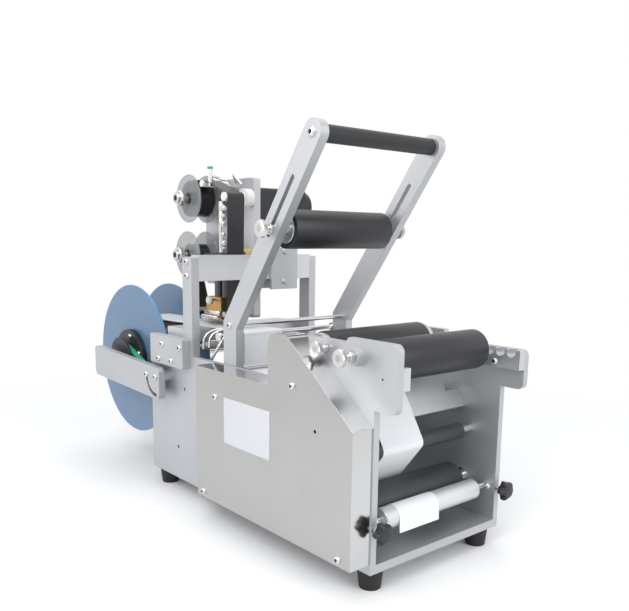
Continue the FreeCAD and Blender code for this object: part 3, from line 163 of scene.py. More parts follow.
def wound(name, colour, centre):
    """The side of a roll: fine rings about an X axis through centre."""
    material = surface(name, colour, rough=0.75, grain=700, shade=0.03)
    nodes = material.node_tree.nodes
    link = material.node_tree.links.new
    place = nodes.new("ShaderNodeTexCoord")
    shift = nodes.new("ShaderNodeMapping")
    shift.inputs["Location"].default_value = (0, -centre.y, -centre.z)
    shift.inputs["Scale"].default_value = (0, 1, 1)
    link(place.outputs["Object"], shift.inputs["Vector"])
    rings = nodes.new("ShaderNodeTexWave")
    rings.wave_type = "RINGS"
    rings.rings_direction = "SPHERICAL"
    rings.inputs["Scale"].default_value = 260
    rings.inputs["Distortion"].default_value = 0.6
    link(shift.outputs["Vector"], rings.inputs["Vector"])
    relief = nodes.new("ShaderNodeBump")
    relief.inputs["Distance"].default_value = 0.0002
    relief.inputs["Strength"].default_value = 0.5
    link(rings.outputs["Fac"], relief.inputs["Height"])
    link(relief.outputs["Normal"], nodes["Principled BSDF"].inputs["Normal"])
    return material


blasted = surface("blasted_aluminium", (0.50, 0.51, 0.53), 0.48, 0.75, 1500, depth=0.00006, shade=0.05,
                  edge=0.0006)
milled = surface("milled_aluminium", (0.62, 0.63, 0.65), 0.36, 0.85, 260, (1, 1, 9), 0.00003, edge=0.0005)
brushed = surface("brushed_stainless", (0.47, 0.465, 0.46), 0.30, 1.0, 120, (1, 1, 14), 0.00004, shade=0.04,
                  rough_shade=0.15, edge=0.0008)
plated = surface("plated_steel", (0.68, 0.67, 0.65), 0.22, 1.0, 500, depth=0.00002, shade=0.08)
polished = surface("polished_chrome", (0.75, 0.75, 0.76), 0.10, 1.0, 200, shade=0.02)
rubber = surface("black_rubber", (0.012, 0.013, 0.015), 0.42, 0.0, 1600, depth=0.00005, shade=0.25)
soft_rubber = surface("foot_rubber", (0.010, 0.010, 0.011), 0.6, 0.0, 1200, depth=0.00008, shade=0.25)
drive_rubber = surface("worn_rubber", (0.035, 0.037, 0.042), 0.5, 0.0, 1600, depth=0.00006, shade=0.2)
moulded = surface("black_plastic", (0.014, 0.015, 0.017), 0.36, 0.0, 2200, depth=0.00004, shade=0.15)
painted = surface("black_paint", (0.022, 0.021, 0.022), 0.38, 0.0, 900, depth=0.00004, shade=0.12,
                  edge=0.0006)
nylon = surface("white_nylon", (0.78, 0.78, 0.75), 0.45, 0.0, 600, depth=0.00002)
smoke = surface("smoky_acrylic", (0.30, 0.33, 0.34), 0.12, 0.0, 90, shade=0.15, alpha=0.55, coat=0.3)
disc_blue = surface("blue_plastic", (0.105, 0.20, 0.33), 0.30, 0.0, 60, shade=0.05, coat=0.25)
# A lighter, brighter copy of the disc blue: a painted highlight for the discs' rims.
disc_rim_highlight = surface("blue_disc_rim_highlight", (0.10, 0.32, 0.62), 0.25, 0.0, 60, shade=0.05)
brass = surface("machined_brass", (0.55, 0.33, 0.12), 0.34, 0.85, 500, (1, 1, 6), 0.00004, shade=0.15,
                edge=0.0005)
paper = surface("label_paper", (0.80, 0.81, 0.83), 0.55, 0.0, 1100, depth=0.00003, shade=0.02)
ribbon_film = surface("ribbon_film", (0.017, 0.017, 0.020), 0.34, 0.0, 40, (1, 1, 12), 0.00005, shade=0.2)
tan_plastic = surface("tan_plastic", (0.72, 0.46, 0.20), 0.45, 0.0, 700, depth=0.00002)
teal_plastic = surface("teal_plastic", (0.03, 0.16, 0.17), 0.45, 0.0, 700, depth=0.00002)
green_plastic = surface("green_plastic", (0.03, 0.35, 0.15), 0.4, 0.0, 700, depth=0.00002)
red_plastic = surface("red_plastic", (0.55, 0.02, 0.02), 0.3, 0.0, 700, coat=0.3)
green_button = surface("green_button", (0.02, 0.30, 0.08), 0.3, 0.0, 700, coat=0.3)
# Flat near-black used as painted shade in screw sockets and collar recesses.
recess_shade_look = surface("painted_recess_shade", (0.01, 0.01, 0.01), 0.8, 0.0, 700)
plate_face = surface("nameplate_face", (0.66, 0.68, 0.71), 0.34, 0.35, 500, (1, 6, 1), 0.00001, shade=0.03)
screen_glass = surface("display_glass", (0.02, 0.035, 0.03), 0.08, 0.0, 200, coat=0.5)
knurled = surface("knurled_aluminium", (0.66, 0.67, 0.69), 0.42, 0.55, 700, (1, 5, 5), 0.00012, shade=0.08)
mirror_steel = surface("mirror_stainless", (0.60, 0.60, 0.60), 0.14, 1.0, 150, (1, 1, 6), 0.00001, shade=0.03,
                       edge=0.0005)
dark_steel = surface("dark_steel", (0.10, 0.10, 0.11), 0.30, 0.9, 500, depth=0.00002)
strap_cloth = woven("green_strap", (0.04, 0.42, 0.20), 0.0012)

SLOT_LOOKS = {
    "plate_aluminium": blasted,
    "stainless": brushed,
    "zinc_steel": plated,
    "chrome": polished,
    "black_rubber": rubber,
    "black_plastic": moulded,
    "white_nylon": nylon,
    "blue_disc": disc_blue,
    "smoke_disc": smoke,
    "brass": brass,
    "paper": paper,
    "green_strap": strap_cloth,
    "red_button": red_plastic,
    "green_button": green_button,
    "motor_black": painted,
}
NODE_LOOKS = {
    "handle_tube": rubber,
    "front_cross_bar": milled,
    "peel_plate": milled,
    "gantry_beam": milled,
    "print_platen": milled,
    "front_combs": milled,
    "roller_bearings": polished,
    "controller_box": milled,
}


def dress_nodes():
    for entry in frame["record"]["subparts"]:
        node = frame["nodes"][entry["node"]]
        look = NODE_LOOKS.get(entry["node"], SLOT_LOOKS[entry["material_slot"]])
        node.data.materials.clear()
        node.data.materials.append(look)


# ---- mesh making ------------------------------------------------------------------------------

def piece(name, mesh_work, look, body, replaces=(), smooth=35.0):
    """Turns finished mesh work into an object that rides on a body, or on none when body is None."""
    bmesh.ops.recalc_face_normals(mesh_work, faces=mesh_work.faces)
    mesh = bpy.data.meshes.new(name)
    mesh_work.to_mesh(mesh)
    mesh_work.free()
    mesh.materials.append(look)
    made = bpy.data.objects.new(name, mesh)
    bpy.context.collection.objects.link(made)
    mesh.shade_smooth()
    mesh.set_sharp_from_angle(angle=math.radians(smooth))
    if body:
        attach(made, body)
    if replaces:
        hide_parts(*replaces)
    return made


def turning(direction):
    """The rotation that takes +Z to the given direction."""
    return Z_AXIS.rotation_difference(Vector(direction)).to_matrix().to_4x4()


def lathe(work, profile, origin, direction, segments=64, waves=0, wave_depth=0.0, wave_span=(0, 0)):
    """Adds a turned form from (distance along, radius) points; waves flute it between two distances."""
    matrix = Matrix.Translation(origin) @ turning(direction)
    rings = []
    for along, radius in profile:
        if radius <= 1e-7:
            rings.append([work.verts.new(matrix @ Vector((0, 0, along)))])
            continue
        ring = []
        for step in range(segments):
            angle = 2 * math.pi * step / segments
            reach = radius
            if waves and wave_span[0] <= along <= wave_span[1]:
                reach -= wave_depth * (0.5 + 0.5 * math.cos(waves * angle))
            place = Vector((reach * math.cos(angle), reach * math.sin(angle), along))
            ring.append(work.verts.new(matrix @ place))
        rings.append(ring)
    for lower, upper in zip(rings, rings[1:]):
        for step in range(segments):
            following = (step + 1) % segments
            corners = [lower[step % len(lower)], lower[following % len(lower)],
                       upper[following % len(upper)], upper[step % len(upper)]]
            unique = list(dict.fromkeys(corners))
            if len(unique) > 2:
                work.faces.new(unique)
    for ring, flip in ((rings[0], True), (rings[-1], False)):
        if len(ring) > 2:
            work.faces.new(list(reversed(ring)) if flip else ring)
    return work


def turned(name, profile, origin, direction, look, body, replaces=(), **details):
    return piece(name, lathe(bmesh.new(), profile, origin, direction, **details), look, body, replaces)


def slab(work, low, high, bevel=0.0, segments=2):
    """Adds a box between two corners, with its edges rounded by bevel."""
    low, high = Vector(low), Vector(high)
    size = high - low
    made = bmesh.ops.create_cube(work, size=1.0, matrix=Matrix.Translation((low + high) / 2)
                                 @ Matrix.Diagonal((*size, 1)))
    if bevel:
        edges = list({edge for vert in made["verts"] for edge in vert.link_edges})
        bmesh.ops.bevel(work, geom=edges, offset=bevel, segments=segments, profile=0.5, affect="EDGES")
    return work


def pipe(work, points, radius, segments=12):
    """Adds a round wire through points, with mitred rings."""
    rings = []
    for index, point in enumerate(points):
        before = points[max(0, index - 1)]
        after = points[min(len(points) - 1, index + 1)]
        direction = (after - before).normalized()
        side = direction.orthogonal() if not rings else (side - direction * side.dot(direction))
        side.normalize()
        other = direction.cross(side)
        ring = []
        for step in range(segments):
            angle = 2 * math.pi * step / segments
            ring.append(work.verts.new(point + (side * math.cos(angle) + other * math.sin(angle)) * radius))
        rings.append(ring)
    for lower, upper in zip(rings, rings[1:]):
        for step in range(segments):
            following = (step + 1) % segments
            work.faces.new([lower[step], lower[following], upper[following], upper[step]])
    work.faces.new(list(reversed(rings[0])))
    work.faces.new(rings[-1])
    return work


def smooth_route(controls, per_span=8):
    """Points of a Catmull-Rom curve through the controls."""
    padded = [controls[0] * 2 - controls[1]] + controls + [controls[-1] * 2 - controls[-2]]
    route = []
    for a, b, c, d in zip(padded, padded[1:], padded[2:], padded[3:]):
        for step in range(per_span):
            t = step / per_span
            route.append(0.5 * ((2 * b) + (c - a) * t + (2 * a - 5 * b + 4 * c - d) * t * t
                                + (3 * b - a - 3 * c + d) * t * t * t))
    route.append(controls[-1])
    return route


def taut_path(stations):
    """A taut strip's line in Y and Z round signed radii: positive where it turns left round the centre."""
    headings = []
    for (y1, z1, r1), (y2, z2, r2) in zip(stations, stations[1:]):
        span = math.hypot(y2 - y1, z2 - z1)
        headings.append(math.atan2(z2 - z1, y2 - y1) - math.asin((r2 - r1) / span))
    path = []
    for index, (y, z, radius) in enumerate(stations):
        arriving = headings[max(0, index - 1)]
        leaving = headings[min(index, len(headings) - 1)]
        turn = (leaving - arriving + math.pi) % (2 * math.pi) - math.pi
        if radius > 0 and turn < -0.001:
            turn += 2 * math.pi
        if radius < 0 and turn > 0.001:
            turn -= 2 * math.pi
        steps = max(1, int(abs(turn) / 0.12)) if radius else 1
        for step in range(steps + 1):
            heading = arriving + turn * step / steps
            path.append((y + math.sin(heading) * radius, z - math.cos(heading) * radius))
            if not turn:
                break
    return path


def strip(work, path, left, right, thick):
    """Adds a thin band along a path in Y and Z; left and right give its edges in X at each point."""
    rows = []
    for index, (y, z) in enumerate(path):
        before = path[max(0, index - 1)]
        after = path[min(len(path) - 1, index + 1)]
        along = Vector((0, after[0] - before[0], after[1] - before[1])).normalized()
        out = Vector((0, along.z, -along.y)) * thick / 2
        edge_left, edge_right = left(y), right(y)
        corners = ((edge_left, out), (edge_right, out), (edge_right, -out), (edge_left, -out))
        rows.append([work.verts.new(spot(x, y, z) + shift * MM) for x, shift in corners])
    for lower, upper in zip(rows, rows[1:]):
        for step in range(4):
            following = (step + 1) % 4
            work.faces.new([lower[step], lower[following], upper[following], upper[step]])
    work.faces.new(list(reversed(rows[0])))
    work.faces.new(rows[-1])
    return work


# ---- fasteners --------------------------------------------------------------------------------

def button_head(work, seat, direction, radius, height):
    """A domed socket screw head, solid; its hexagon recess is drawn apart as a flat patch of painted shade.
    """
    socket = radius * 0.46
    profile = [(0.0, radius)]
    for step in range(1, 6):
        angle = math.pi / 2 * step / 6
        profile.append((height * math.sin(angle), radius * (0.55 + 0.45 * math.cos(angle))))
    profile.append((height, socket * 1.25))
    lathe(work, profile, seat, direction, segments=32)
    return work


def paint_socket_shade(work, seat, direction, radius, height):
    """Painted shade for a screw's hexagon recess: a flat dark hexagon a hair above its crown."""
    matrix = Matrix.Translation(seat) @ turning(direction)
    corners = []
    for step in range(6):
        angle = math.pi / 3 * step
        reach = radius * 0.46
        corners.append(work.verts.new(matrix @ Vector((reach * math.cos(angle), reach * math.sin(angle),
                                                       height + 0.00003))))
    work.faces.new(corners)
    return work


def screw_set(name, seats, body, radius=0.0046, height=0.0028, replaces=()):
    """Button head screws at (place, direction) seats, as one piece of heads and one of dark hexagons painted
    as recess shade.
    """
    heads = bmesh.new()
    marks = bmesh.new()
    for seat, direction in seats:
        button_head(heads, seat, direction, radius, height)
        paint_socket_shade(marks, seat, direction, radius, height)
    piece(name, heads, plated, body, replaces)
    # Dark hexagons over the heads: painted shade for their socket recesses.
    piece(name + "_painted_socket_shade", marks, recess_shade_look, body)


def loose_parts(node):
    """(lowest, highest) corners of each separate solid in a node."""
    work = bmesh.new()
    work.from_mesh(frame["nodes"][node].data)
    bmesh.ops.remove_doubles(work, verts=work.verts, dist=1e-6)
    seen = set()
    boxes = []
    for start in work.verts:
        if start in seen:
            continue
        pile = [start]
        seen.add(start)
        low, high = start.co.copy(), start.co.copy()
        while pile:
            vert = pile.pop()
            for index in range(3):
                low[index] = min(low[index], vert.co[index])
                high[index] = max(high[index], vert.co[index])
            for edge in vert.link_edges:
                other = edge.other_vert(vert)
                if other not in seen:
                    seen.add(other)
                    pile.append(other)
        boxes.append((low, high))
    work.free()
    return boxes


HEAD_RISE = 0.0028


def dress_frame_screws():
    seats = []
    for low, high in loose_parts("frame_screws"):
        centre = (low + high) / 2
        side = 1 if centre.x > 0 else -1
        tip = high.x if side > 0 else low.x
        seats.append((Vector((tip - HEAD_RISE * side, centre.y, centre.z)), X_AXIS * side))
    screw_set("frame_screw_heads", seats, "frame", replaces=("frame_screws",))


def dress_press_screws():
    seats = []
    big = []
    for low, high in loose_parts("press_frame_screws"):
        centre = (low + high) / 2
        side = 1 if centre.x > 0 else -1
        tip = high.x if side > 0 else low.x
        if high.z - low.z > 0.0115:
            big.append((Vector((tip - 0.003 * side, centre.y, centre.z)), X_AXIS * side))
        else:
            seats.append((Vector((tip - HEAD_RISE * side, centre.y, centre.z)), X_AXIS * side))
    screw_set("knee_screw_heads", seats, "press_frame", replaces=("press_frame_screws",))
    screw_set("handle_screw_heads", big, "press_frame", radius=0.0065, height=0.003)


def dress_cover_screws():
    """Small screws of the side cover, the control housing and the combs."""
    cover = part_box("side_cover")[0].x
    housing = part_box("control_housing")[1].x
    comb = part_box("front_combs")
    seats = []
    for y, z in ((20.5, 43), (286, 43), (255.5, 176), (99.5, 216)):
        seats.append((flush(cover, y, z), -X_AXIS))
    for y, z in ((104, 54), (346, 54), (346, 186), (110, 164)):
        seats.append((flush(housing, y, z), X_AXIS))
    screw_set("cover_screws", seats, "frame")
    seats = []
    inner = comb[1].x - 0.010
    for y, z in ((3.5, 233.5), (50, 233.5)):
        for side in (-1, 1):
            seats.append((flush(inner * side, y, z), -X_AXIS * side))
    screw_set("comb_screws", seats, "frame", radius=0.0040, height=0.0022)


# ---- rollers ----------------------------------------------------------------------------------

ROLLER_REACH = 0.080
PULLEY_WIDTH = 0.0078


def stepped(steps, chamfer=0.0006):
    """A turned profile from (start, end, radius) steps, with each outward corner broken."""
    profile = [(steps[0][0], 0)]
    for start, end, radius in steps:
        trim = min(chamfer, (end - start) / 3, radius / 3)
        profile += [(start, radius - trim), (start + trim, radius)]
        profile += [(end - trim, radius), (end, radius - trim)]
    profile.append((steps[-1][1], 0))
    return profile


def rubber_roller(node, body, look, radius, sleeve, core, core_look=None):
    """A rubber sleeve over a metal core given as (start, end, radius) steps across the machine."""
    centre = middle(node)
    centre.x = 0
    reach = ROLLER_REACH
    shell = [
        (-reach + 0.0003, radius - sleeve),
        (-reach, radius - sleeve + 0.0004),
        (-reach, radius - 0.0014),
        (-reach + 0.0004, radius - 0.0004),
        (-reach + 0.0014, radius),
        (reach - 0.0014, radius),
        (reach - 0.0004, radius - 0.0004),
        (reach, radius - 0.0014),
        (reach, radius - sleeve + 0.0004),
        (reach - 0.0003, radius - sleeve),
    ]
    turned(node + "_rubber", shell, centre, X_AXIS, look, body, (node,), segments=96)
    turned(node + "_core", stepped(core), centre, X_AXIS, core_look or milled, body, segments=72)


def dress_rollers():
    reach = ROLLER_REACH
    big = (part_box("front_roller")[1].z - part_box("front_roller")[0].z) / 2
    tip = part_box("front_roller")[1].x
    hub = 0.012
    shaft = 0.006
    rubber_roller("press_roller", "press_roller", rubber, big, 0.006,
                  [(-reach - 0.0004, reach + 0.0004, big - 0.0062)])
    rubber_roller("front_roller", "front_roller", rubber, big, 0.006,
                  [(-tip, -reach - 0.006, shaft), (-reach - 0.006, -reach, hub),
                   (-reach, reach, big - 0.0061), (reach, reach + 0.006, hub), (reach + 0.006, tip, shaft)])
    low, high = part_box("rear_roller")
    collar = 0.0215
    pulley = 0.014
    rubber_roller("rear_roller", "rear_roller", rubber, big, 0.006,
                  [(low.x, low.x + PULLEY_WIDTH, pulley), (low.x + PULLEY_WIDTH, -reach - 0.008, shaft),
                   (-reach - 0.008, -reach, collar), (-reach, reach, big - 0.0061),
                   (reach, reach + 0.008, collar), (reach + 0.008, high.x, shaft)])
    low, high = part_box("drive_roller")
    wheel = -0.1198
    rubber_roller("drive_roller", "drive_roller", drive_rubber, (high.z - low.z) / 2, 0.004,
                  [(low.x, low.x + PULLEY_WIDTH, pulley), (low.x + PULLEY_WIDTH, wheel, shaft),
                   (wheel, wheel + 0.0076, 0.020), (wheel + 0.0076, -reach, shaft),
                   (-reach, reach, 0.0184), (reach, high.x, shaft)])
    low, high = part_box("guide_roller")
    rubber_roller("guide_roller", "guide_roller", drive_rubber, (high.z - low.z) / 2, 0.003,
                  [(low.x, -reach, 0.004), (-reach, reach, 0.0067), (reach, high.x, 0.004)])
    low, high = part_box("pinch_roller")
    radius = (high.z - low.z) / 2
    grip = stepped([(-reach, reach, radius)], 0.0012)
    turned("pinch_roller_body", grip, middle("pinch_roller"), X_AXIS, knurled, "pinch_roller",
           ("pinch_roller",), segments=96)
    low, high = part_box("handle_tube")
    grip = stepped([(low.x, high.x, (high.z - low.z) / 2)], 0.0008)
    turned("handle_grip", grip, middle("handle_tube"), X_AXIS, rubber, "press_frame", ("handle_tube",),
           segments=72)


# ---- turned hardware --------------------------------------------------------------------------

def knurled_rim(start, end, radius):
    """Profile of a thumb screw's head with rounded rims, for waves between its two rim distances."""
    return [(start, radius * 0.9), (start + 0.0006, radius), (end - 0.0008, radius), (end, radius * 0.88),
            (end + 0.0001, radius * 0.8), (end, 0)]


def thumb_screw(node, body, side, head_start, rest_steps):
    """A knurled head at the outer end of a stepped shank, along the given side of the X axis."""
    low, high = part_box(node)
    centre = middle(node)
    origin = Vector((0, centre.y, centre.z))
    radius = (high.z - low.z) / 2
    tip = max(abs(low.x), abs(high.x))
    outward = X_AXIS * side
    knurl = (head_start + 0.0003, tip - 0.0007)
    head = [(head_start, 0)] + knurled_rim(head_start, tip, radius)
    face = [
        (tip - 0.0002, 0),
        (tip - 0.0002, radius * 0.72),
        (tip + 0.00005, radius * 0.70),
        (tip + 0.00005, 0),
    ]
    turned(node + "_shank", stepped(rest_steps, 0.0004), origin, outward, plated, body, (node,), segments=48)
    turned(node + "_head", head, origin, outward, plated, body, segments=240, waves=60, wave_depth=0.0005,
           wave_span=knurl)
    turned(node + "_face", face, origin, outward, brushed, body, segments=64)


SCREW_SHANK = 0.003
SCREW_NECK = 0.004


def lock_screw(node, collar, collar_radius):
    """A lock screw of the left ear; its 6 mm collar starts so far from the tip."""
    low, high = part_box(node)
    tip = -low.x
    thumb_screw(node, node, -1, tip - 0.005, [
        (-high.x, tip - collar, SCREW_SHANK),
        (tip - collar, tip - (collar - 0.006), collar_radius),
        (tip - (collar - 0.006), tip - 0.0048, SCREW_NECK)])


def dress_thumb_screws():
    arm_face = 0.1017
    for node, side in (("left_thumb_screw", -1), ("right_thumb_screw", 1)):
        low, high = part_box(node)
        inner = min(abs(low.x), abs(high.x))
        thumb_screw(node, node, side, arm_face + 0.011, [
            (inner, arm_face, SCREW_SHANK),
            (arm_face, arm_face + 0.004, 0.007),
            (arm_face + 0.004, arm_face + 0.0112, SCREW_NECK)])
    lock_screw("front_lock_screw", 0.0185, 0.0065)
    lock_screw("rear_lock_screw", 0.017, 0.005)


def dress_knobs():
    lobes = [
        (0.0, 0.0),
        (0.0, 0.0062),
        (0.0010, 0.0072),
        (0.0016, 0.0098),
        (0.0028, 0.0120),
        (0.0048, 0.0127),
        (0.0078, 0.0125),
        (0.0100, 0.0113),
        (0.0114, 0.0085),
        (0.0119, 0.0050),
        (0.0120, 0.0),
    ]
    for node in ("left_star_knob", "right_star_knob"):
        low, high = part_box(node)
        centre = middle(node)
        face = Vector((centre.x, low.y + 0.012, centre.z))
        work = bmesh.new()
        lathe(work, lobes, face, -Y_AXIS, segments=120, waves=5, wave_depth=0.0046,
              wave_span=(0.0012, 0.0105))
        piece(node + "_grip", work, moulded, node, (node,), smooth=60)
        stud = stepped([(-(high.y - face.y), 0.001, 0.003)], 0.0004)
        turned(node + "_stud", stud, face, -Y_AXIS, plated, node, segments=32)


def dress_feet():
    work = bmesh.new()
    for low, high in loose_parts("rubber_feet"):
        centre = (low + high) / 2
        radius = (high.x - low.x) / 2
        tall = high.z - low.z
        profile = [(0.0008, 0), (0.0008, radius * 0.62), (0.0, radius * 0.68), (0.0, radius * 0.78),
                   (0.0010, radius * 0.82), (tall * 0.9, radius * 0.98), (tall - 0.0008, radius),
                   (tall, radius * 0.97), (tall, 0)]
        lathe(work, profile, Vector((centre.x, centre.y, low.z)), Z_AXIS, segments=56)
    piece("feet_rubber", work, soft_rubber, "frame", ("rubber_feet",))


# ---- label reel -------------------------------------------------------------------------------

CORE_RADIUS = 0.037
FLANGE_RADIUS = 0.0485


def ring_between(low, high, inner, outer, trim):
    """Profile of a ring from low.x to high.x, open at its bore, with its rims broken by trim."""
    return [(low.x, inner), (low.x, outer - trim), (low.x + trim, outer),
            (high.x - trim, outer), (high.x, outer - trim), (high.x, inner)]


def dress_reel():
    centre = middle("label_roll")
    axis = Vector((0, centre.y, centre.z))
    hub_low, hub_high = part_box("reel_hub")
    discs = sorted(loose_parts("reel_discs"), key=lambda pair: pair[0].x)
    radius = (discs[0][1].z - discs[0][0].z) / 2
    for index, (low, high) in enumerate(discs):
        ring = ring_between(low, high, CORE_RADIUS, radius, 0.0005)
        made = turned(f"reel_disc_{index}", ring, axis, X_AXIS, disc_blue, "reel",
                      ("reel_discs",) if index == 0 else (), segments=180)
        made.data.materials.append(disc_rim_highlight)
        # Rim faces take the lighter blue as a painted highlight; the flat sides keep the disc blue.
        for face in made.data.polygons:
            face.material_index = 1 if abs(face.normal.x) < 0.8 else 0
    low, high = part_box("label_roll")
    outer = (high.z - low.z) / 2
    roll = ring_between(low, high, CORE_RADIUS + 0.0002, outer, 0.0004)
    roll_side = wound("wound_paper", (0.78, 0.77, 0.72), centre)
    turned("roll_of_labels", roll, axis, X_AXIS, roll_side, "reel", ("label_roll",), segments=120)
    near = discs[0][0].x
    far = discs[1][1].x
    drum = near - 0.009
    turned("reel_hub_body", stepped([
        (drum - 0.015, drum - 0.011, CORE_RADIUS),
        (drum - 0.011, drum, 0.024),
        (drum, near, FLANGE_RADIUS),
        (near, far, CORE_RADIUS),
        (far, far + 0.009, FLANGE_RADIUS)]), axis, X_AXIS, moulded, "reel", ("reel_hub",), segments=120)
    shaft = stepped([
        (hub_low.x, drum - 0.0149, 0.006),
        (drum - 0.0149, far + 0.0089, 0.0059),
        (far + 0.0089, hub_high.x, 0.006)])
    turned("reel_shaft", shaft, axis, X_AXIS, polished, "reel", segments=48)
    seats = []
    for step in range(6):
        angle = math.radians(60 * step + 40)
        rim = Vector((0, math.cos(angle), math.sin(angle))) * 0.0386
        seats.append((Vector((drum, axis.y, axis.z)) + rim, -X_AXIS))
    screw_set("reel_flange_screws", seats, "reel", radius=0.0042, height=0.0024)


# ---- ribbon coder -----------------------------------------------------------------------------

SPOOL_LEFT = -0.036
SPOOL_RIGHT = -0.006
SPOOL_BORE = 0.0091


def dress_spools():
    left = SPOOL_LEFT
    right = SPOOL_RIGHT
    for name, wound_radius in (("supply", 0.027), ("takeup", 0.0165)):
        node = name + "_spool"
        body = name + "_reel"
        low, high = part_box(node)
        centre = middle(node)
        axis = Vector((0, centre.y, centre.z))
        collar = (high.z - low.z) / 2
        hub = stepped([(left - 0.003, right + 0.003, 0.009)])
        shaft = stepped([(left - 0.010, left - 0.003, 0.005), (right + 0.003, high.x, 0.004)])
        nut = stepped([
            (low.x, low.x + 0.004, collar * 0.72),
            (low.x + 0.004, low.x + 0.012, collar),
            (low.x + 0.012, low.x + 0.014, collar * 0.8)], 0.0008)
        # A flat dark hexagon on the collar's outer end: painted shade standing in for its recess.
        recess = [
            (low.x - 0.00004, 0),
            (low.x - 0.00004, collar * 0.42),
            (low.x + 0.0002, collar * 0.42),
            (low.x + 0.0002, 0),
        ]
        winding = stepped([(left + 0.001, right - 0.001, wound_radius)], 0.0003)
        turned(name + "_hub", hub, axis, X_AXIS, moulded, body, (node,), segments=64)
        turned(name + "_shaft", shaft, axis, X_AXIS, plated, body, segments=40)
        turned(name + "_collar", nut, axis, X_AXIS, plated, body, segments=160, waves=40, wave_depth=0.0004,
               wave_span=(low.x + 0.0045, low.x + 0.0115))
        turned(name + "_collar_hole_shade", recess, axis, X_AXIS, recess_shade_look, body, segments=6)
        turned(name + "_ribbon", winding, axis, X_AXIS, ribbon_film, body, segments=96)
        discs = sorted(loose_parts(name + "_discs"), key=lambda pair: pair[0].x)
        for index, (disc_low, disc_high) in enumerate(discs):
            radius = (disc_high.z - disc_low.z) / 2
            ring = ring_between(disc_low, disc_high, SPOOL_BORE, radius, 0.0004)
            turned(f"{name}_disc_{index}", ring, axis, X_AXIS, smoke, body,
                   (name + "_discs",) if index == 0 else (), segments=96)


RIBBON_LEFT = -35.5
RIBBON_RIGHT = -6.5


def make_ribbon():
    """The ribbon runs over both white rollers, down before the head, under it and up to the take-up."""
    supply = middle("supply_spool")
    takeup = middle("takeup_spool")
    front = middle("ribbon_roller_front")
    rear = middle("ribbon_roller_rear")

    def station(point, radius):
        return ((point.y - FRONT) / MM, point.z / MM, radius)

    path = taut_path([
        station(supply, 27.0),
        station(rear, 5.2),
        station(front, 6.7),
        (389.0, 262.0, 4.3),
        (401.0, 251.4, 0.6),
        (431.0, 251.4, 0.6),
        (471.0, 262.0, 4.3),
        station(takeup, 16.7),
    ])
    work = strip(bmesh.new(), path, lambda y: RIBBON_LEFT, lambda y: RIBBON_RIGHT, 0.2)
    piece("ribbon_band", work, ribbon_film, "coder", smooth=50)


def dress_coder():
    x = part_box("coder_plate")[0].x / MM
    strut = bmesh.new()
    slab(strut, spot(-45, 384, 352), spot(-41, 389, 424), 0.0006)
    piece("ribbon_strut", strut, plated, "coder")
    bosses = bmesh.new()
    for z, radius, length in ((366, 3.4, 9), (378, 2.6, 6), (392, 3.8, 8), (404, 2.6, 6), (414, 3.2, 10)):
        boss = stepped([(0, length * MM, radius * MM)])
        lathe(bosses, boss, spot(-41 - length * 0.3, 383.5, z), -Y_AXIS, segments=24)
    piece("strut_bosses", bosses, plated, "coder")
    tie = bmesh.new()
    for z in (358, 418):
        lathe(tie, stepped([(0, (x + 42) * MM, 0.003)]), spot(-42, 386.5, z), X_AXIS, segments=24)
    piece("strut_ties", tie, plated, "coder")
    block = bmesh.new()
    slab(block, spot(-4, 381, 343), spot(9.8, 392, 357), 0.0006)
    piece("tan_block", block, tan_plastic, "coder")
    tab = bmesh.new()
    slab(tab, spot(-5.6, 380.6, 344), spot(-3.8, 391, 353), 0.0004)
    piece("teal_tab", tab, teal_plastic, "coder")
    post = bmesh.new()
    lathe(post, stepped([(0, 0.026, 0.0028)]), spot(-30, 434, 447), Z_AXIS, segments=24)
    lathe(post, stepped([(0, 0.040, 0.0028)]), spot(-30, 434, 448.5), X_AXIS, segments=24)
    piece("ribbon_post", post, plated, "coder")
    cap = bmesh.new()
    lathe(cap, stepped([(0, 0.0035, 0.0042)]), spot(-30, 434, 472.5), Z_AXIS, segments=24)
    piece("ribbon_post_cap", cap, green_plastic, "coder")
    arm = bmesh.new()
    pipe(arm, smooth_route([spot(4, 500, 452), spot(-8, 470, 461), spot(-18, 445, 463), spot(-24, 420, 459),
                            spot(-20, 402, 455)]), 0.0018)
    pipe(arm, smooth_route([spot(9, 425, 455), spot(0, 418, 464), spot(-10, 400, 462),
                            spot(-6, 388, 450)]), 0.0016)
    piece("ribbon_springs", arm, plated, "coder")
    knob = bmesh.new()
    lathe(knob, stepped([(0, 0.014, 0.0022)]), spot(-38, 408, 282), -X_AXIS, segments=24)
    piece("head_pin", knob, plated, "print_head")
    knob = bmesh.new()
    lathe(knob, stepped([(0, 0.0065, 0.0052)], 0.0016), spot(-47.5, 408, 282), -X_AXIS, segments=36)
    piece("head_pin_knob", knob, nylon, "print_head")
    comb = bmesh.new()
    for step in range(7):
        y = 398 + step * 5.5
        slab(comb, spot(-49, y, 254.5), spot(-38.2, y + 2.6, 259.5), 0.0005)
    slab(comb, spot(-42, 396, 260), spot(-38.1, 436, 266), 0.0005)
    piece("head_fingers", comb, plated, "print_head")
    seats = [(spot(-38, y, z), -X_AXIS) for y, z in ((402, 258), (430, 258))]
    screw_set("head_screws", seats, "print_head", radius=0.0026, height=0.0014)
    node = frame["nodes"]["print_head"]
    node.data.materials.append(dark_steel)
    block_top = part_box("print_head")[0].z + 0.0341
    for face in node.data.polygons:
        highest = max(node.data.vertices[i].co.z for i in face.vertices)
        face.material_index = 1 if highest > block_top else 0


# ---- label web --------------------------------------------------------------------------------

WEB_WIDTH = 65.0
WEB_THICK = 0.25
DRIFT_START = 440.0
DRIFT_LENGTH = 150.0
PLATEN_BACK = 441.0


def web_left(y):
    """Left edge of the web: it drifts from the roll's place to the head's."""
    drift = min(1.0, max(0.0, (y - DRIFT_START) / DRIFT_LENGTH))
    return -62.0 - 19.0 * drift


def web_right(y):
    return web_left(y) + WEB_WIDTH


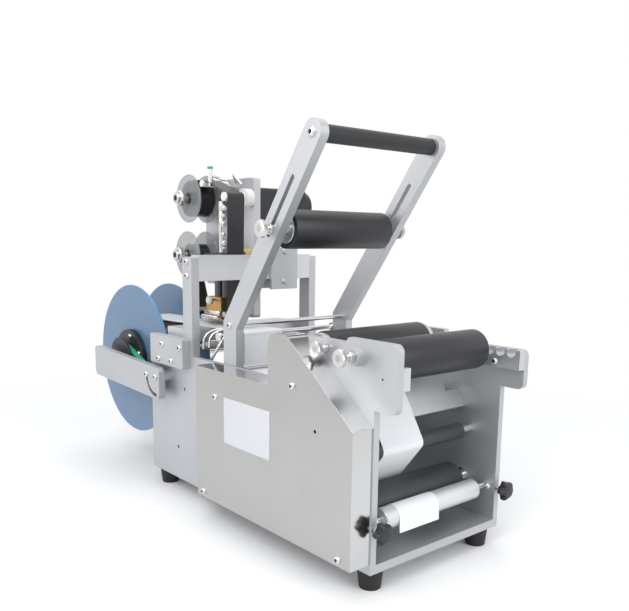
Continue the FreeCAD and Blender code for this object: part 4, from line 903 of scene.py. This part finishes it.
def make_web():
    roll = middle("label_roll")
    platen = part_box("print_platen")[1].z / MM + 0.3
    roll_y = (roll.y - FRONT) / MM
    steps = 12
    start = (roll_y, roll.z / MM + 70.3)
    run = [(start[0] + (PLATEN_BACK - start[0]) * step / steps, start[1] + (platen - start[1]) * step / steps)
           for step in range(steps + 1)]
    work = strip(bmesh.new(), run, web_left, web_right, WEB_THICK)
    feed_strip = piece("web_feed", work, paper, None, smooth=50)
    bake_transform(feed_strip)
    path = taut_path([
        (PLATEN_BACK, platen, 0),
        (386.0, platen, 0),
        (305.0, 243.5, 4.0),
        (296.0, 200.0, -4.0),
        (104.0, 186.0, -6.0),
        (86.2, 232.6, 1.2),
        (42.0, 142.5, 10.0),
        (52.5, 77.0, -22.7),
        (17.3, 74.0, 12.6),
        (4.0, 58.0, 0),
    ])
    work = strip(bmesh.new(), path, web_left, web_right, WEB_THICK)
    piece("web_run", work, paper, "frame", smooth=50)


ROD_REACH = 0.1005


def make_guides():
    """Rods that carry the web, and the bent wires beside it."""
    rods = bmesh.new()
    for y, z, radius in ((305, 243.5, 0.0036), (296, 200, 0.0036), (104, 186, 0.0056)):
        lathe(rods, stepped([(-ROD_REACH, ROD_REACH, radius)]), spot(0, y, z), X_AXIS, segments=32)
    piece("web_rods", rods, polished, "frame")
    wires = bmesh.new()
    pipe(wires, smooth_route([spot(-98, 330, 207), spot(-97, 312, 228), spot(-95, 297, 249)]), 0.0022)
    pipe(wires, smooth_route([spot(-100, 345, 222), spot(-98, 344, 238), spot(-86, 342, 247),
                              spot(-60, 340, 249.5), spot(-20, 340, 249.5)]), 0.0016)
    pipe(wires, smooth_route([spot(-100, 330, 226), spot(-97, 330, 240), spot(-84, 329, 248),
                              spot(-50, 328, 250), spot(0, 328, 250)]), 0.0016)
    piece("web_wires", wires, plated, "frame")
    blocks = bmesh.new()
    for y, z in ((305, 243.5), (296, 200), (104, 186)):
        for side in (-1, 1):
            collar = stepped([(0, 0.004, 0.0062)])
            lathe(blocks, collar, spot(101.9 * side, y, z), -X_AXIS * side, segments=24)
    piece("rod_collars", blocks, plated, "frame")


# ---- covers, plates and controls --------------------------------------------------------------

PLATE_PROUD = 0.0006


def dress_cover():
    node = frame["nodes"]["side_cover"]
    node.data.materials.append(mirror_steel)
    for face in node.data.polygons:
        face.material_index = 1 if abs(face.normal.x) < 0.3 else 0
    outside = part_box("side_cover")[0].x
    plate = bmesh.new()
    slab(plate, flush(outside - PLATE_PROUD, 140, 121), flush(outside + 0.0002, 235, 179), 0.0004, 3)
    piece("nameplate", plate, plate_face, "frame")
    dome = [(0, 0.0014), (0.0004, 0.0013), (0.0007, 0.0008), (0.0008, 0)]
    work = bmesh.new()
    for y in (144, 231):
        for z in (125, 175):
            lathe(work, dome, flush(outside - PLATE_PROUD, y, z), -X_AXIS, segments=20)
    piece("nameplate_rivets", work, plated, "frame")


def dress_controls():
    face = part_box("control_housing")[1].x

    def on_side(out, y, z):
        return flush(face + out, y, z)

    bezel = bmesh.new()
    slab(bezel, on_side(-0.0002, 220, 112), on_side(0.0012, 334, 176), 0.0008, 3)
    piece("panel_bezel", bezel, moulded, "frame")
    window = bmesh.new()
    slab(window, on_side(0.001, 232, 146), on_side(0.0016, 322, 170), 0.0004)
    piece("panel_display", window, screen_glass, "frame")
    keys = bmesh.new()
    key = [(0, 0.0056), (0.0008, 0.0056), (0.0012, 0.0048), (0.0013, 0)]
    for step in range(5):
        lathe(keys, key, on_side(0.0011, 238 + 19.5 * step, 128), X_AXIS, segments=32)
    piece("panel_keys", keys, nylon, "frame")
    rings = bmesh.new()
    ring = [(0, 0.0084), (0, 0.0116), (0.0008, 0.0116), (0.0012, 0.0110), (0.0012, 0.0086), (0, 0.0084)]
    for node in ("start_button", "stop_button"):
        centre = middle(node)
        seat = Vector((face, centre.y, centre.z))
        lathe(rings, ring, seat, X_AXIS, segments=48)
    piece("button_rings", rings, plated, "frame")
    fins = bmesh.new()
    box_low, box_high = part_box("controller_box")
    for step in range(12):
        x = box_low.x + 0.008 + step * 0.0095
        slab(fins, (x, box_low.y + 0.006, box_high.z - 0.0002),
             (x + 0.003, box_high.y - 0.006, box_high.z + 0.006), 0.0003, 1)
    piece("controller_fins", fins, milled, "frame")


# ---- stage ------------------------------------------------------------------------------------

def studio():
    work = bmesh.new()
    bmesh.ops.create_grid(work, x_segments=1, y_segments=1, size=14.0)
    mesh = bpy.data.meshes.new("floor")
    work.to_mesh(mesh)
    work.free()
    floor = bpy.data.objects.new("floor", mesh)
    bpy.context.collection.objects.link(floor)
    mesh.materials.append(pale_floor())
    world = bpy.data.worlds.new("studio")
    bpy.context.scene.world = world
    world.use_nodes = True
    nodes = world.node_tree.nodes
    link = world.node_tree.links.new
    light = nodes["Background"]
    light.inputs["Color"].default_value = (0.93, 0.96, 1.0, 1)
    light.inputs["Strength"].default_value = 0.55
    seen = nodes.new("ShaderNodeBackground")
    seen.inputs["Color"].default_value = (1, 1, 1, 1)
    seen.inputs["Strength"].default_value = 1.0
    mix = nodes.new("ShaderNodeMixShader")
    link(looking_rays(nodes, link), mix.inputs["Fac"])
    link(light.outputs[0], mix.inputs[1])
    link(seen.outputs[0], mix.inputs[2])
    link(mix.outputs[0], nodes["World Output"].inputs["Surface"])
    lamp("key", (-1.6, -1.0, 2.0), 1.4, 30)
    lamp("front_fill", (0.3, -2.4, 1.2), 1.6, 22)
    lamp("top", (0.2, 0.2, 2.4), 1.8, 16)
    lamp("back_left", (-2.2, 1.2, 1.0), 1.2, 12)


def looking_rays(nodes, link):
    """One for what the camera, a reflection or a see-through piece looks at, and nought for other light."""
    rays = nodes.new("ShaderNodeLightPath")
    total = rays.outputs["Is Camera Ray"]
    for name in ("Is Glossy Ray", "Is Transmission Ray"):
        larger = nodes.new("ShaderNodeMath")
        larger.operation = "MAXIMUM"
        link(total, larger.inputs[0])
        link(rays.outputs[name], larger.inputs[1])
        total = larger.outputs[0]
    return total


def pale_floor():
    """A pale floor that keeps the shadow near the machine and turns plain white further out."""
    material = bpy.data.materials.new("pale_floor")
    material.use_nodes = True
    nodes = material.node_tree.nodes
    link = material.node_tree.links.new
    shader = nodes["Principled BSDF"]
    shader.inputs["Roughness"].default_value = 0.9
    place = nodes.new("ShaderNodeTexCoord")
    noise = nodes.new("ShaderNodeTexNoise")
    noise.inputs["Scale"].default_value = 2.0
    tint = nodes.new("ShaderNodeValToRGB")
    tint.color_ramp.elements[0].color = (0.93, 0.93, 0.93, 1)
    tint.color_ramp.elements[1].color = (0.95, 0.95, 0.95, 1)
    link(place.outputs["Object"], noise.inputs["Vector"])
    link(noise.outputs["Fac"], tint.inputs["Fac"])
    link(tint.outputs["Color"], shader.inputs["Base Color"])
    away = nodes.new("ShaderNodeVectorMath")
    away.operation = "LENGTH"
    link(place.outputs["Object"], away.inputs[0])
    fade = nodes.new("ShaderNodeMapRange")
    fade.interpolation_type = "SMOOTHSTEP"
    fade.inputs["From Min"].default_value = 0.45
    fade.inputs["From Max"].default_value = 1.1
    link(away.outputs["Value"], fade.inputs["Value"])
    amount = nodes.new("ShaderNodeMath")
    amount.operation = "MULTIPLY"
    link(fade.outputs["Result"], amount.inputs[0])
    link(looking_rays(nodes, link), amount.inputs[1])
    white = nodes.new("ShaderNodeEmission")
    mix = nodes.new("ShaderNodeMixShader")
    link(amount.outputs[0], mix.inputs["Fac"])
    link(shader.outputs[0], mix.inputs[1])
    link(white.outputs[0], mix.inputs[2])
    link(mix.outputs[0], nodes["Material Output"].inputs["Surface"])
    return material


def lamp(name, place, size, power):
    data = bpy.data.lights.new(name, "AREA")
    data.size = size
    data.energy = power
    made = bpy.data.objects.new(name, data)
    bpy.context.collection.objects.link(made)
    made.location = place
    made.rotation_euler = (Vector((0, -0.1, 0.2)) - Vector(place)).to_track_quat("-Z", "Y").to_euler()


def camera():
    """The photograph's view: from the front left, slightly above, with a small roll."""
    eye = spot(-618.7, -507.2, 377.5)
    aim = spot(-67.42, 145.98, 228.74)
    data = bpy.data.cameras.new("view")
    data.sensor_width = 36.0
    data.lens = 41.49
    data.shift_y = 0.0898
    made = bpy.data.objects.new("view", data)
    bpy.context.collection.objects.link(made)
    turn = (aim - eye).to_track_quat("-Z", "Y").to_matrix()
    roll = Matrix.Rotation(math.radians(0.74), 3, "Z")
    made.matrix_world = Matrix.Translation(eye) @ (turn @ roll).to_4x4()
    bpy.context.scene.camera = made


bpy.context.scene.view_settings.view_transform = "Standard"
dress_nodes()
dress_frame_screws()
dress_press_screws()
dress_cover_screws()
dress_rollers()
dress_thumb_screws()
dress_knobs()
dress_feet()
dress_reel()
dress_spools()
make_ribbon()
dress_coder()
make_web()
make_guides()
dress_cover()
dress_controls()
studio()
camera()
